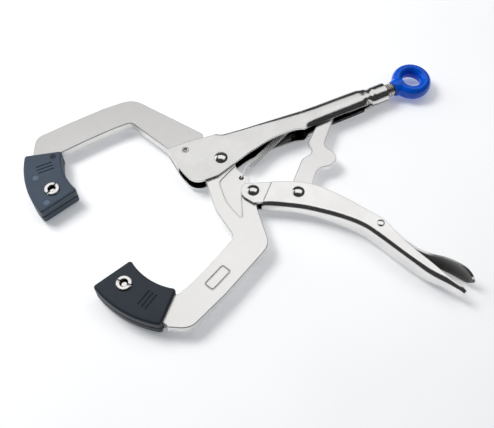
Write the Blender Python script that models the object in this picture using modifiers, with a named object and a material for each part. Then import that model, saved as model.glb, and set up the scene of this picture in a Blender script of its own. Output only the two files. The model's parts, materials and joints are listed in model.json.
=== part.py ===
"""Locking C-clamp pliers with plastic pads: one object for each piece that comes apart on a bench.

Drawing frame, in millimetres: the main pivot is the origin, +X runs back along the adjusting screw,
+Y points to the upper jaw, and Z = 0 is the middle plane of the tool, which lies on its side.
"""
import math

import bmesh
import bpy
from mathutils import Matrix, Vector

MM = 0.001

# Where the drawing frame sits: the box centre of the tool is the world's origin, its lowest point Z = 0.
FRAME_SHIFT = (-23.1, 39.05)
MID_HEIGHT = 8.2

# Driving dimensions
SHEET = 1.5                 # handle sheet metal
GAP = 0.25                  # between pieces that touch
RIVET_GAP = 0.2             # under the rivet heads
JAW_HALF = 3.25             # half thickness of the forged jaws
CHEEK_OUT = 5.0             # half width of the upper handle over the jaw
GRIP_OUT = 7.5              # half width of the upper handle at the grip
EAR_OUT = 5.0               # half width of the lower handle over its front ears
FRONT_OUT = 5.4             # half width of the lower handle just behind the joggle
CHANNEL_OUT = 7.1           # half width of the lower handle where the hand holds it
TAIL_OUT = 4.7              # half width of the lower handle at its rear end
LINK_HALF = 2.25            # half thickness of the toggle link
PAD_HALF = 6.5              # half thickness of a closed pad
PAD_SEAM = 0.12             # each half's distance from the middle plane
RECESS = 0.6                # depth of the coined recess and of the ear seats in the lower jaw
NUT_HOLE = 3.7              # holes for the pad nuts' sleeves
DOWEL_RADIUS = 2.2
EAR_SEAT_RADIUS = 8.0
REACH = 12                  # half length of cutters that go right through

# Pivots, in the drawing frame
JAW_PIVOT = (0.0, 0.0)
HANDLE_PIVOT = (7.4, -33.6)
LINK_PIVOT = (33.4, -48.1)
LEVER_PIVOT = (68.05, -93.4)
LINK_NOSE = (86.4, 4.0)
DOWEL = (-19.0, 16.8)
SPRING_HOLE = (5.55, -19.8)
SPRING_TAB = (60.5, 7.0)
SCREW_Y = 4.0
UPPER_NUT = (-110.7, 25.1)
LOWER_NUT = (-93.2, -60.2)
UPPER_PAD_ANGLE = math.radians(88.3)     # from the pad's nut towards its arm
LOWER_PAD_ANGLE = math.radians(-60.4)
UPPER_ARM_EDGE = 3.9                     # outer edge of each arm where it leaves its pad
LOWER_ARM_EDGE = 6.4

# Rivets: head radius, shank radius, head height
MAIN_RIVET = (4.5, 3.4, 1.8)
SIDE_RIVET = (4.1, 2.9, 1.6)
LEVER_RIVET = (2.4, 1.7, 0.7)
LEVER_HUB = (3.1, 4.9)      # radius and half length of the release lever's hub

# Adjusting screw and its eye
THREAD_RADIUS = 5.0
THREAD_DEPTH = 0.7
THREAD_PITCH = 1.5
TIP_START = 96.0            # leaves the link's nose the travel that a straight-line coupling needs
TIP_LENGTH = 4.0
THREAD_START = TIP_START + TIP_LENGTH + GAP
THREAD_END = 140.9
EYE_CENTRE = 157.5
EYE_RADIUS = 10.4
EYE_TILT = math.radians(3.0)
COAT_SECTION = (4.2, 5.75)
STEEL_SECTION = (2.7, 4.2)
NECK_RADIUS = 5.8
NECK_START = 141.2

# Upper handle: barrel and neck behind the grip
BARREL_RADIUS = 7.1
NECK_SHELL_RADIUS = 6.75
BARREL_END = 133.5

# Return spring
WIRE = 0.42
COIL_RADIUS = 1.9
COIL_TURNS = 32
COIL_START = (16.5, -11.7)
COIL_END = (56.5, 5.9)

NICKEL = ((0.62, 0.61, 0.58, 1.0), 0.28, 1.0)
SATIN = ((0.60, 0.59, 0.56, 1.0), 0.42, 1.0)
PLASTIC = ((0.045, 0.06, 0.08, 1.0), 0.45, 0.0)
DARK_PLASTIC = ((0.025, 0.032, 0.042, 1.0), 0.45, 0.0)
VINYL = ((0.0, 0.09, 0.62, 1.0), 0.18, 0.0)
SPRING_STEEL = ((0.30, 0.30, 0.30, 1.0), 0.35, 1.0)


# ---------------------------------------------------------------- scene and small tools

def clear_scene():
    for old in list(bpy.data.objects):
        bpy.data.objects.remove(old, do_unlink=True)


def cutter_collection():
    collection = bpy.data.collections.new("cutters")
    bpy.context.scene.collection.children.link(collection)
    return collection


def make_material(name, finish):
    colour, roughness, metallic = finish
    material = bpy.data.materials.new(name)
    material.use_nodes = True
    shader = material.node_tree.nodes["Principled BSDF"]
    shader.inputs["Base Color"].default_value = colour
    shader.inputs["Roughness"].default_value = roughness
    shader.inputs["Metallic"].default_value = metallic
    material.diffuse_color = colour
    return material


def polar(centre, radius, angle):
    return (centre[0] + radius * math.cos(angle), centre[1] + radius * math.sin(angle))


def arc(centre, radius, start_deg, end_deg, steps=8):
    span = end_deg - start_deg
    return [polar(centre, radius, math.radians(start_deg + span * i / steps)) for i in range(steps + 1)]


def bowed(start, end, sagitta, steps=10):
    """Points after start up to end on an arc that bulges to the left of the way by sagitta."""
    a = Vector(start)
    b = Vector(end)
    chord = (b - a).length
    side = Vector((-(b - a).y, (b - a).x)) / chord
    radius = chord * chord / (8 * abs(sagitta)) + abs(sagitta) / 2
    centre = (a + b) / 2 + side * (sagitta - math.copysign(radius, sagitta))
    first = math.atan2(a.y - centre.y, a.x - centre.x)
    sweep = math.remainder(math.atan2(b.y - centre.y, b.x - centre.x) - first, math.tau)
    return [polar(centre, radius, first + sweep * i / steps) for i in range(1, steps + 1)]


def rounded(*corners):
    """Turns each (x, y, radius) corner into an arc; an open stretch starts and ends with plain points."""
    points = []
    count = len(corners)
    for i, corner in enumerate(corners):
        here = Vector(corner[:2])
        if len(corner) == 2:
            points.append(tuple(here))
            continue
        before = (Vector(corners[i - 1][:2]) - here).normalized()
        after = (Vector(corners[(i + 1) % count][:2]) - here).normalized()
        half = before.angle(after) / 2
        centre = here + (before + after).normalized() * (corner[2] / math.sin(half))
        reach = corner[2] / math.tan(half)
        first = here + before * reach - centre
        last = here + after * reach - centre
        sweep = math.remainder(math.atan2(last.y, last.x) - math.atan2(first.y, first.x), math.tau)
        steps = max(2, math.ceil(abs(sweep) / math.radians(14)))
        start = math.atan2(first.y, first.x)
        points += [polar(centre, corner[2], start + sweep * k / steps) for k in range(steps + 1)]
    return points


def through(points, steps=4):
    """A smooth line through hand-set points (Catmull-Rom), steps pieces between two points."""
    knots = [Vector(p) for p in points]
    knots = [2 * knots[0] - knots[1]] + knots + [2 * knots[-1] - knots[-2]]
    line = []
    for a, b, c, d in zip(knots, knots[1:], knots[2:], knots[3:]):
        for k in range(steps):
            t = k / steps
            line.append(0.5 * (2 * b + (c - a) * t + (2 * a - 5 * b + 4 * c - d) * t * t
                               + (3 * b - a - 3 * c + d) * t * t * t))
    line.append(knots[-2])
    return [tuple(p) for p in line]


def smooth(low, high, value):
    t = min(1.0, max(0.0, (value - low) / (high - low)))
    return t * t * (3 - 2 * t)


def to_object(name, mesh, collection=None):
    obj = bpy.data.objects.new(name, mesh)
    (collection or bpy.context.scene.collection).objects.link(obj)
    return obj


def mesh_from(bm, name):
    mesh = bpy.data.meshes.new(name)
    bm.to_mesh(mesh)
    bm.free()
    return mesh


def plate_mesh(name, outline, low, high, rim=0.0):
    """A flat outline given its thickness from low to high, its rims rounded by rim."""
    curve = bpy.data.curves.new(name, "CURVE")
    curve.dimensions = "2D"
    curve.fill_mode = "BOTH"
    curve.extrude = (high - low) / 2 - rim
    curve.bevel_depth = rim
    curve.bevel_resolution = 0 if rim < 0.5 else 1
    curve.offset = -rim
    spline = curve.splines.new("POLY")
    spline.points.add(len(outline) - 1)
    spline.use_cyclic_u = True
    for point, (x, y) in zip(spline.points, outline):
        point.co = (x, y, 0.0, 1.0)
    holder = to_object(name + "_curve", curve)
    mesh = bpy.data.meshes.new_from_object(holder)
    bpy.data.objects.remove(holder, do_unlink=True)
    mesh.name = name
    mesh.transform(Matrix.Translation((0, 0, (low + high) / 2)))
    bm = bmesh.new()
    bm.from_mesh(mesh)
    bmesh.ops.remove_doubles(bm, verts=bm.verts, dist=0.0001)
    bmesh.ops.recalc_face_normals(bm, faces=bm.faces)
    bm.to_mesh(mesh)
    bm.free()
    return mesh


def rod_mesh(name, centre, radius, low, high, steps=24):
    """A cylinder along Z."""
    bm = bmesh.new()
    place = Matrix.Translation((centre[0], centre[1], (low + high) / 2))
    bmesh.ops.create_cone(bm, cap_ends=True, segments=steps, radius1=radius, radius2=radius,
                          depth=high - low, matrix=place)
    return mesh_from(bm, name)


def turned_mesh(name, profile, steps=32):
    """A profile of (radius, height) points, top to bottom on its outer side, turned about Z."""
    mesh = bpy.data.meshes.new(name + "_profile")
    closed = profile[0][0] > 0
    edges = [(i, i + 1) for i in range(len(profile) - 1)]
    if closed:
        edges.append((len(profile) - 1, 0))
    mesh.from_pydata([(r, 0.0, z) for r, z in profile], edges, [])
    holder = to_object(name + "_turned", mesh)
    screw = holder.modifiers.new("turn", "SCREW")
    screw.axis = "Z"
    screw.steps = steps
    screw.render_steps = steps
    screw.use_merge_vertices = True
    screw.merge_threshold = 0.0001
    result = applied_mesh(holder)
    result.name = name
    bm = bmesh.new()
    bm.from_mesh(result)
    bmesh.ops.remove_doubles(bm, verts=bm.verts, dist=0.0001)
    bmesh.ops.recalc_face_normals(bm, faces=bm.faces)
    bm.to_mesh(result)
    bm.free()
    return result


def applied_mesh(holder):
    """The holder's mesh with its modifiers applied; the holder itself is removed."""
    graph = bpy.context.evaluated_depsgraph_get()
    mesh = bpy.data.meshes.new_from_object(holder.evaluated_get(graph))
    bpy.data.objects.remove(holder, do_unlink=True)
    return mesh


def combine(mesh, others, operation):
    """Cuts, joins or intersects mesh with each of others."""
    holder = to_object("working", mesh)
    for i, other in enumerate(others):
        tool = to_object("cutter_%d" % i, other, CUTTERS)
        tool.hide_render = True
        tool.display_type = "WIRE"
        boolean = holder.modifiers.new("boolean_%d" % i, "BOOLEAN")
        boolean.operation = operation
        boolean.solver = "EXACT"
        boolean.object = tool
    result = applied_mesh(holder)
    for tool in list(CUTTERS.objects):
        bpy.data.objects.remove(tool, do_unlink=True)
    return result


def cut(mesh, *others):
    return combine(mesh, others, "DIFFERENCE")


def join(mesh, *others):
    return combine(mesh, others, "UNION")


def keep_inside(mesh, other):
    return combine(mesh, [other], "INTERSECT")


def publish(name, mesh, material, pivot=(0.0, 0.0), sharp=35.0):
    """Puts a finished piece into the scene in metres, its origin on its pivot."""
    mesh.transform(Matrix.Translation((-pivot[0], -pivot[1], 0)))
    mesh.transform(Matrix.Scale(MM, 4))
    mesh.name = name
    mesh.materials.clear()
    mesh.materials.append(material)
    obj = to_object(name, mesh)
    place = (FRAME_SHIFT[0] + pivot[0], FRAME_SHIFT[1] + pivot[1], MID_HEIGHT)
    obj.location = [v * MM for v in place]
    mesh.shade_smooth()
    mesh.set_sharp_from_angle(angle=math.radians(sharp))
    return obj


# ---------------------------------------------------------------- jaws

def pad_frame(nut, angle, side):
    """Turns a pad's own (along, out) place into the drawing frame; side is +1 above, -1 below."""
    along = Vector((math.cos(angle), math.sin(angle)))
    out = Vector((-math.sin(angle), math.cos(angle))) * side

    def place(points):
        placed = [tuple(Vector(nut) + along * p[0] + out * p[1]) for p in points]
        return placed if side > 0 else placed[::-1]
    return place


UPPER_PLACE = pad_frame(UPPER_NUT, UPPER_PAD_ANGLE, 1)
LOWER_PLACE = pad_frame(LOWER_NUT, LOWER_PAD_ANGLE, -1)


def tongue(arm_edge, grow=0.0):
    """The jaw's end inside its pad, from the arm's outer edge round the nut to its inner edge."""
    end = 8.2 + grow
    outer = [(36.3, arm_edge + grow), (22.0, 7.4 + grow)]
    inner = [(13.0, -8.3 - grow), (29.0, -12.4 - grow)]
    return outer + arc((0.0, 0.0), end, 85, 270, 16) + inner


def upper_jaw(material):
    outline = UPPER_PLACE(tongue(UPPER_ARM_EDGE)) + bowed((-97.6, 53.4), (-56.0, 57.5), 0.5, 5)
    outline += rounded((-56.0, 57.5), (-43.1, 57.7, 5.0), (-29.3, 24.7))[1:]
    outline += [(-28.6, 7.5)] + arc(JAW_PIVOT, 11.2, 138, 106, 4)
    outline += rounded((-3.4, 20.0), (-2.0, 26.0, 3.0), (-33.9, 77.6, 15.0), (-56.0, 78.4), (-82.0, 76.6))
    outline += rounded((-82.0, 76.6), (-107.4, 74.2, 9.0), (-113.4, 61.5))[1:]
    mesh = plate_mesh("jaw", outline, -JAW_HALF, JAW_HALF, 0.45)
    holes = [rod_mesh("dowel_hole", DOWEL, DOWEL_RADIUS + GAP, -REACH, REACH),
             rod_mesh("nut_hole", UPPER_NUT, NUT_HOLE, -REACH, REACH)]
    return publish("upper_jaw", cut(mesh, *holes), material)


def lower_jaw(material):
    outline = rounded((-16.7, -10.5), (-20.9, -36.0, 30.0), (-18.8, -59.0, 5.0), (-40.0, -69.3))
    outline += bowed((-40.0, -69.3), (-66.0, -79.6), 0.6, 4)
    outline += LOWER_PLACE(tongue(LOWER_ARM_EDGE))
    outline += rounded((-80.6, -96.6), (-69.0, -103.6, 12.0), (-40.0, -92.3), (-14.0, -80.2),
                       (-0.9, -74.1, 12.0), (1.4, -61.0), (3.4, -50.0), (4.6, -44.6))
    outline += arc(HANDLE_PIVOT, 6.6, -68, 76, 10)
    outline += rounded((9.2, -25.5), (10.2, -22.0, 1.5), (6.0, -12.0, 4.0), (9.0, 0.0))
    outline += arc(JAW_PIVOT, 9.6, 12, 168, 12)
    mesh = plate_mesh("jaw", outline, -JAW_HALF, JAW_HALF, 0.45)
    swept = rounded((18, -5), (2.0, -11.0), (-9.4, -16.2, 5.0), (-12.3, -33.0, 30.0), (-8.4, -51.0, 1.3),
                    (0.4, -30.5), (18, -28))
    floor = JAW_HALF - RECESS
    cutters = []
    for low, high in ((floor, REACH), (-REACH, -floor)):
        cutters.append(plate_mesh("swept", swept, low, high))
        cutters.append(rod_mesh("ear_seat", HANDLE_PIVOT, EAR_SEAT_RADIUS, low, high, 32))
    cutters.append(rod_mesh("pivot_hole", JAW_PIVOT, MAIN_RIVET[1] + GAP, -REACH, REACH))
    cutters.append(rod_mesh("handle_hole", HANDLE_PIVOT, SIDE_RIVET[1] + GAP, -REACH, REACH))
    cutters.append(rod_mesh("spring_hole", SPRING_HOLE, 1.6, -REACH, REACH, 24))
    cutters.append(rod_mesh("nut_hole", LOWER_NUT, NUT_HOLE, -REACH, REACH))
    return publish("lower_jaw", cut(mesh, *cutters), material)


def jaw_dowel(material):
    """The dowel that holds the upper jaw between the cheeks, its ends dished by the punch."""
    top = CHEEK_OUT - 0.1
    radius = DOWEL_RADIUS
    profile = [(0.0, top - 1.0), (1.0, top - 0.75), (1.8, top), (radius, top), (radius, -top), (1.8, -top),
               (1.0, -top + 0.75), (0.0, -top + 1.0)]
    mesh = turned_mesh("dowel", profile, 24)
    mesh.transform(Matrix.Translation((DOWEL[0], DOWEL[1], 0)))
    return publish("jaw_dowel", mesh, material)


# ---------------------------------------------------------------- pads with their nuts and screws

def pad_outline():
    corner_b = (28.2, -15.1)
    corner_c = (-7.0, -15.0)
    corner_d = (-14.8, 11.9)
    corner_a = (34.6, 9.3)
    inner = [corner_b] + bowed(corner_b, corner_c, -4.0, 10)
    outer = [corner_d] + bowed(corner_d, corner_a, 4.6, 12)
    return soften(inner + outer, 2.6)


def soften(points, reach):
    """Rounds every sharp corner of a closed outline that is otherwise smooth."""
    result = []
    for i, here in enumerate(points):
        before = (Vector(points[i - 1]) - Vector(here))
        after = (Vector(points[(i + 1) % len(points)]) - Vector(here))
        if before.angle(after) > math.radians(150):
            result.append(here)
            continue
        first = Vector(here) + before.normalized() * reach
        last = Vector(here) + after.normalized() * reach
        for k in range(5):
            t = k / 4
            result.append(tuple(first * (1 - t) ** 2 + 2 * t * (1 - t) * Vector(here) + last * t * t))
    return result


def pad_half(name, place, nut, side, material):
    """One moulded half of a pad: side is +1 for the near half, -1 for the far half."""
    whole = plate_mesh("pad", place(pad_outline()[::-1]), -PAD_HALF, PAD_HALF, 1.6)
    pocket_half = JAW_HALF + GAP
    # Both pads are the same moulding, so the pocket suits the wider of the two arms.
    mouth = [(50, -17), (50, 7)]
    pocket = plate_mesh("pocket", place(tongue(LOWER_ARM_EDGE, GAP) + mouth), -pocket_half, pocket_half)
    hole = rod_mesh("hole", nut, NUT_HOLE, -REACH, REACH)
    other_side = rod_mesh("other_side", nut, 80, -REACH, PAD_SEAM, 8)
    if side < 0:
        other_side = rod_mesh("other_side", nut, 80, -PAD_SEAM, REACH, 8)
    return publish(name, cut(whole, pocket, hole, other_side), material)


def pad_nut(name, centre, slot_angle, material):
    """A sleeve nut with a slotted ring head; its sleeve reaches through the pad and the jaw."""
    face = PAD_HALF + RIVET_GAP
    top = face + 1.0
    profile = [(2.5, top - 0.3), (2.8, top), (4.6, top), (5.0, top - 0.4), (5.0, face), (3.45, face),
               (3.45, -3.0), (2.5, -3.0)]
    mesh = turned_mesh("nut", profile, 24)
    slots = []
    for half_turn in (0, 180):
        bm = bmesh.new()
        bmesh.ops.create_cube(bm, size=1.0, matrix=Matrix.Diagonal((3.6, 1.3, 1.6, 1.0)))
        slot = mesh_from(bm, "slot")
        slot.transform(Matrix.Translation((4.3, 0, top)))
        slot.transform(Matrix.Rotation(math.radians(slot_angle + half_turn), 4, "Z"))
        slots.append(slot)
    mesh = cut(mesh, *slots)
    mesh.transform(Matrix.Translation((centre[0], centre[1], 0)))
    return publish(name, mesh, material)


def pad_screw(name, centre, material):
    """The screw on the far side: a flat head with a hexagon socket, its end inside the nut."""
    face = PAD_HALF + RIVET_GAP
    profile = [(0.0, 5.3), (1.7, 5.3), (2.2, 4.8), (2.2, -face), (4.6, -face), (4.6, -face - 1.3),
               (4.3, 0.1 - MID_HEIGHT), (4.0, -MID_HEIGHT), (0.0, -MID_HEIGHT)]
    mesh = turned_mesh("screw", profile, 20)
    socket = rod_mesh("socket", (0, 0), 1.75, -9.5, -6.3, 6)
    mesh = cut(mesh, socket)
    mesh.transform(Matrix.Translation((centre[0], centre[1], 0)))
    return publish(name, mesh, material)


# ---------------------------------------------------------------- rivets

def rivet(name, centre, sizes, sheet_out, material, pivot=(0.0, 0.0)):
    head, shank, height = sizes
    face = sheet_out + RIVET_GAP
    dome = [(head * i / 6, face + 0.15 + (height - 0.15) * (1 - (i / 6) ** 2)) for i in range(7)]
    top = dome + [(head, face), (shank, face)]
    profile = top + [(r, -z) for r, z in reversed(top)]
    mesh = turned_mesh("rivet", profile, 24)
    mesh.transform(Matrix.Translation((centre[0], centre[1], 0)))
    return publish(name, mesh, material, pivot)


# ---------------------------------------------------------------- upper handle

def tube_section(radius):
    """The sheet closed to a tube round the screw, its seam underneath."""
    flat = 0.3
    turn = 87.0
    return (radius, SCREW_Y + flat + radius, radius, SCREW_Y - flat, radius * math.radians(turn), turn)


# Stations along the grip: x, half width, top, fold radius, where the sides start to curl, curl length
# and curl angle in degrees.
GRIP_STATIONS = (
    (-34.0, CHEEK_OUT, 27.0, 2.5, -4.0, 12.0, 0.0),
    (-3.0, CHEEK_OUT, 27.0, 2.5, -4.0, 12.0, 0.0),
    (9.0, CHEEK_OUT, 19.1, 2.5, -4.0, 10.0, 0.0),
    (15.0, CHEEK_OUT, 18.3, 2.6, -2.0, 9.0, 0.0),
    (25.0, 5.7, 16.8, 3.0, 1.0, 9.0, 0.0),
    (35.0, 7.0, 15.7, 4.0, 2.6, 9.0, 0.0),
    (45.0, GRIP_OUT, 15.2, 5.2, 3.0, 8.6, 0.0),
    (60.0, GRIP_OUT, 14.6, 6.3, 3.0, 8.4, 0.0),
    (64.0, GRIP_OUT, 14.3, 6.5, 3.2, 7.8, 4.0),
    (69.0, GRIP_OUT, 14.0, 6.7, 3.4, 7.7, 54.0),
    (80.0, GRIP_OUT, 13.7, 6.9, 3.3, 7.7, 58.0),
    (100.0, GRIP_OUT, 13.5, 7.0, 3.2, 7.7, 58.0),
    (112.0, GRIP_OUT, 13.2, 7.0, 3.3, 7.9, 60.0),
    (117.5, 7.1, 12.2, 6.8, 3.6, 8.8, 72.0),
    (120.5, *tube_section(NECK_SHELL_RADIUS)),
    (122.0, *tube_section(NECK_SHELL_RADIUS)),
    (123.6, *tube_section(BARREL_RADIUS)),
    (BARREL_END, *tube_section(BARREL_RADIUS)),
)
FOLD_STEPS = 6
SIDE_STEPS = 1
CURL_STEPS = 5


def grip_station(x):
    """The section's sizes at x, eased between the stations on each side."""
    for first, last in zip(GRIP_STATIONS, GRIP_STATIONS[1:]):
        if x <= last[0]:
            t = (x - first[0]) / (last[0] - first[0])
            if last[0] - first[0] < 6:
                t = t * t * (3 - 2 * t)
            return [a + (b - a) * t for a, b in zip(first[1:], last[1:])]
    return list(GRIP_STATIONS[-1][1:])


def grip_half_section(x):
    """(y, z) points of the outer face from the middle of the fold down to the lower edge."""
    half, top, fold, curl_y, length, angle = grip_station(x)
    fold = min(fold, half)
    points = [(top, 0.0)]
    for i in range(FOLD_STEPS + 1):
        a = math.radians(90.0 * i / FOLD_STEPS)
        points.append((top - fold + fold * math.cos(a), half - fold + fold * math.sin(a)))
    start = top - fold
    for i in range(1, SIDE_STEPS + 1):
        points.append((start + (curl_y - start) * i / SIDE_STEPS, half))
    turn = math.radians(max(angle, 0.01))
    radius = length / turn
    for i in range(1, CURL_STEPS + 1):
        a = turn * i / CURL_STEPS
        points.append((curl_y - radius * math.sin(a), half - radius * (1 - math.cos(a))))
    return points


def span(start, end, count):
    return [start + (end - start) * i / count for i in range(count)]


def sheet_mesh(name, columns, section):
    """A folded sheet: a grid whose rows follow the section at each column, thickened inwards.

    Columns crossed with the section's own direction give the outer side.
    """
    rows = len(section(columns[0]))
    bm = bmesh.new()
    bmesh.ops.create_grid(bm, x_segments=len(columns) - 1, y_segments=rows - 1, size=1.0)
    bm.verts.ensure_lookup_table()
    sections = [section(column) for column in columns]
    for vert in bm.verts:
        i = round((vert.co.x + 1) / 2 * (len(columns) - 1))
        j = round((vert.co.y + 1) / 2 * (rows - 1))
        vert.co = sections[i][j]
    holder = to_object(name, mesh_from(bm, name))
    solid = holder.modifiers.new("thickness", "SOLIDIFY")
    solid.thickness = SHEET
    solid.offset = -1.0
    solid.use_even_offset = True
    return applied_mesh(holder)


def grip_section(x):
    half = grip_half_section(x)
    near = [(x, y, z) for y, z in reversed(half)]
    return near + [(x, y, -z) for y, z in half[1:]]


def upper_handle(material):
    columns = [-34.0, -3.0, 3.0, 9.0, 15.0] + span(20, 45, 6) + [45.0, 52.0, 60.0]
    columns += span(62, 70, 6) + [70.0, 76.0, 88.0, 100.0] + span(108, 124, 12) + [124.0, BARREL_END]
    mesh = sheet_mesh("grip", columns, grip_section)
    side = rounded((-29.6, 23.3), (-28.6, 3.0, 40.0), (-25.0, -11.5, 9.0), (-8.0, -12.2, 8.0),
                   (18.0, -4.6, 40.0), (40.0, -1.5, 60.0), (62.0, -2.6, 20.0), (70.0, -12.0),
                   (150.0, -12.0), (150.0, 30.0), (14.0, 30.0), (9.0, 19.6), (-1.0, 20.8), (-12.0, 22.4))
    mesh = keep_inside(mesh, plate_mesh("side", side, -REACH, REACH))
    tab_x, tab_y = SPRING_TAB
    bm = bmesh.new()
    bmesh.ops.create_cube(bm, size=1.0, matrix=Matrix.Translation((tab_x, tab_y + 3.0, 0))
                          @ Matrix.Diagonal((1.6, 8.6, 5.0, 1.0)))
    tab = mesh_from(bm, "tab")
    mesh = join(mesh, tab)
    notch_line = rounded((111.0, -12), (113.6, -2.4, 2.0), (116.8, -0.6, 2.0), (119.9, -2.4, 1.5),
                         (120.4, -12))
    notch = plate_mesh("notch", notch_line, -REACH, REACH)
    tab_hole = rod_mesh("tab_hole", (0, 0), 1.0, -REACH, REACH, 16)
    tab_hole.transform(Matrix.Rotation(math.radians(90), 4, "Y"))
    tab_hole.transform(Matrix.Translation((tab_x, tab_y + 0.6, 0)))
    holes = [rod_mesh("pivot_hole", JAW_PIVOT, MAIN_RIVET[1] + GAP, -REACH, REACH),
             rod_mesh("dowel_hole", DOWEL, DOWEL_RADIUS + GAP, -REACH, REACH), notch, tab_hole]
    return publish("upper_handle", cut(mesh, *holes), material)


# ---------------------------------------------------------------- lower handle

# Pairs of points along the lower handle: its free inner edge, and the outer face of its back.
CHANNEL_PAIRS = (
    ((-3.9, -22.3), (-9.6, -38.9)),
    ((7.1, -27.0), (1.6, -43.9)),
    ((20.7, -32.8), (11.6, -48.5)),
    ((32.7, -38.4), (20.5, -53.9)),
    ((43.7, -46.0), (31.3, -61.5)),
    ((52.5, -56.4), (42.4, -72.0)),
    ((59.7, -68.5), (51.1, -81.8)),
    ((65.9, -81.2), (57.5, -91.0)),
    ((71.3, -91.8), (61.5, -100.0)),
    ((73.5, -103.7), (65.9, -111.9)),
    ((76.3, -116.7), (70.5, -124.2)),
    ((81.2, -131.4), (75.7, -136.3)),
    ((86.0, -145.4), (82.3, -146.6)),
    ((88.9, -152.2), (86.2, -153.2)),
    ((90.1, -155.8), (88.1, -156.5)),
)
CHANNEL_FOLD = 3.8          # outer radius of the fold along the handle
EAR_FOLD = 2.2              # the same at its front ears
FOLD_SPAN = (1.6, 11.6)     # where the fold widens from one to the other
JOGGLE = ((20.5, -33.9), (8.9, -44.6))
SWELL_SPAN = (55.0, 88.0)
TAIL_SPAN = (120.0, 160.0)
TIP_SPAN = (151.5, 158.0)
TIP_NARROWING = 1.6


def channel_half_width(x, y):
    """The sheet steps out behind the joggle line, swells to the grip and narrows to its rear end."""
    a = Vector(JOGGLE[0])
    along = (Vector(JOGGLE[1]) - a).normalized()
    away = (Vector((x, y)) - a).dot(Vector((-along.y, along.x)))
    body = FRONT_OUT + (CHANNEL_OUT - FRONT_OUT) * smooth(*SWELL_SPAN, -y)
    body += (TAIL_OUT - CHANNEL_OUT) * smooth(*TAIL_SPAN, -y) - TIP_NARROWING * smooth(*TIP_SPAN, -y)
    return EAR_OUT + (body - EAR_OUT) * smooth(-0.6, 0.9, away)


def channel_section(pair):
    edge = Vector(pair[0])
    back = Vector(pair[1])
    depth = (back - edge).length
    out = (back - edge) / depth
    radius = EAR_FOLD + (CHANNEL_FOLD - EAR_FOLD) * smooth(*FOLD_SPAN, back.x)
    radius = min(radius, 0.9 * depth)
    fold = back - out * radius
    near = []
    for i in range(3):
        p = edge.lerp(fold, i / 2)
        near.append((p.x, p.y, channel_half_width(p.x, p.y)))
    half = channel_half_width(fold.x, fold.y)
    for i in range(1, 5):
        a = math.radians(22.5 * i)
        p = fold + out * radius * math.sin(a)
        near.append((p.x, p.y, half - radius * (1 - math.cos(a))))
    far = [(x, y, -z) for x, y, z in near]
    return far + [(back.x, back.y, 0.0)] + near[::-1]


def lower_handle(material):
    edges = through([p[0] for p in CHANNEL_PAIRS], 3)
    backs = through([p[1] for p in CHANNEL_PAIRS], 3)
    mesh = sheet_mesh("channel", list(zip(edges, backs)), channel_section)
    ear = arc(HANDLE_PIVOT, 7.7, 100, 215, 12)
    around = ear + [(3.4, -42.4), (8.6, -44.6), (2.0, -54.0), (50.0, -110.0), (70.0, -170.0),
                    (110.0, -170.0), (110.0, -20.0), (20.0, -20.0)]
    mesh = keep_inside(mesh, plate_mesh("around", around, -REACH, REACH))
    holes = [rod_mesh("ear_hole", HANDLE_PIVOT, SIDE_RIVET[1] + GAP, -REACH, REACH),
             rod_mesh("link_hole", LINK_PIVOT, SIDE_RIVET[1] + GAP, -REACH, REACH),
             rod_mesh("lever_hole", LEVER_PIVOT, LEVER_RIVET[1] + GAP, -REACH, REACH, 24)]
    return publish("lower_handle", cut(mesh, *holes), material, HANDLE_PIVOT)


def toggle_link(material):
    nose_radius = 4.75
    outline = arc(LINK_NOSE, nose_radius, -45, 135, 10)
    outline += rounded((76.0, 0.0), (60.2, -13.6, 4.0), (59.8, -22.6, 5.0), (50.0, -23.6, 5.0),
                       (29.0, -43.2))
    outline += arc(LINK_PIVOT, 7.0, 132, 305, 12)
    outline += rounded((45.0, -46.0), (53.0, -37.4, 4.0), (58.0, -35.6, 6.0), (64.0, -37.2, 5.0),
                       (70.8, -35.2, 5.0), (72.6, -28.8, 6.0), (68.6, -20.2, 5.0), (88.0, -1.2))
    mesh = plate_mesh("link", outline, -LINK_HALF, LINK_HALF, 0.35)
    mesh = cut(mesh, rod_mesh("hole", LINK_PIVOT, SIDE_RIVET[1] + GAP, -REACH, REACH))
    return publish("toggle_link", mesh, material, LINK_PIVOT)


def link_spacer(name, side, material):
    """A collar on the link's rivet that keeps the link in the middle of the channel."""
    low = LINK_HALF + GAP
    high = FRONT_OUT - SHEET - GAP
    inner = SIDE_RIVET[1] + GAP
    mesh = turned_mesh("spacer", [(inner, high), (5.2, high), (5.2, low), (inner, low)], 32)
    if side < 0:
        mesh.transform(Matrix.Rotation(math.radians(180), 4, "X"))
    mesh.transform(Matrix.Translation((LINK_PIVOT[0], LINK_PIVOT[1], 0)))
    return publish(name, mesh, material, HANDLE_PIVOT)


# Stations along the release lever from inside the channel to its tip: x, y and half width.
LEVER_STATIONS = (
    (60.5, -88.2, 4.2), (64.0, -90.8, 4.8), (68.0, -94.2, 4.9), (71.8, -101.0, 4.9), (75.2, -109.6, 4.9),
    (79.3, -118.4, 5.1), (84.3, -125.6, 6.0), (89.6, -131.2, 7.0), (93.8, -136.6, 7.4),
    (97.2, -142.6, 7.3), (98.5, -146.6, 6.5), (99.2, -149.6, 4.7), (99.6, -151.3, 2.6), (99.8, -152.0, 0.9),
)
PADDLE_DISH = 1.1           # depth of the paddle's hollow, towards the handle
DISH_SPAN = (112.0, 130.0)


def lever_section(column):
    """The outer face across the leaf, hollowed lengthwise where it becomes the paddle."""
    p, away = column
    dish = PADDLE_DISH * smooth(*DISH_SPAN, -p.y)
    points = []
    for i in range(9):
        across = 1 - i / 4
        q = p.xy + away * (SHEET / 2 + dish * (0.6 - across * across))
        points.append((q.x, q.y, p.z * across))
    return points


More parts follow.
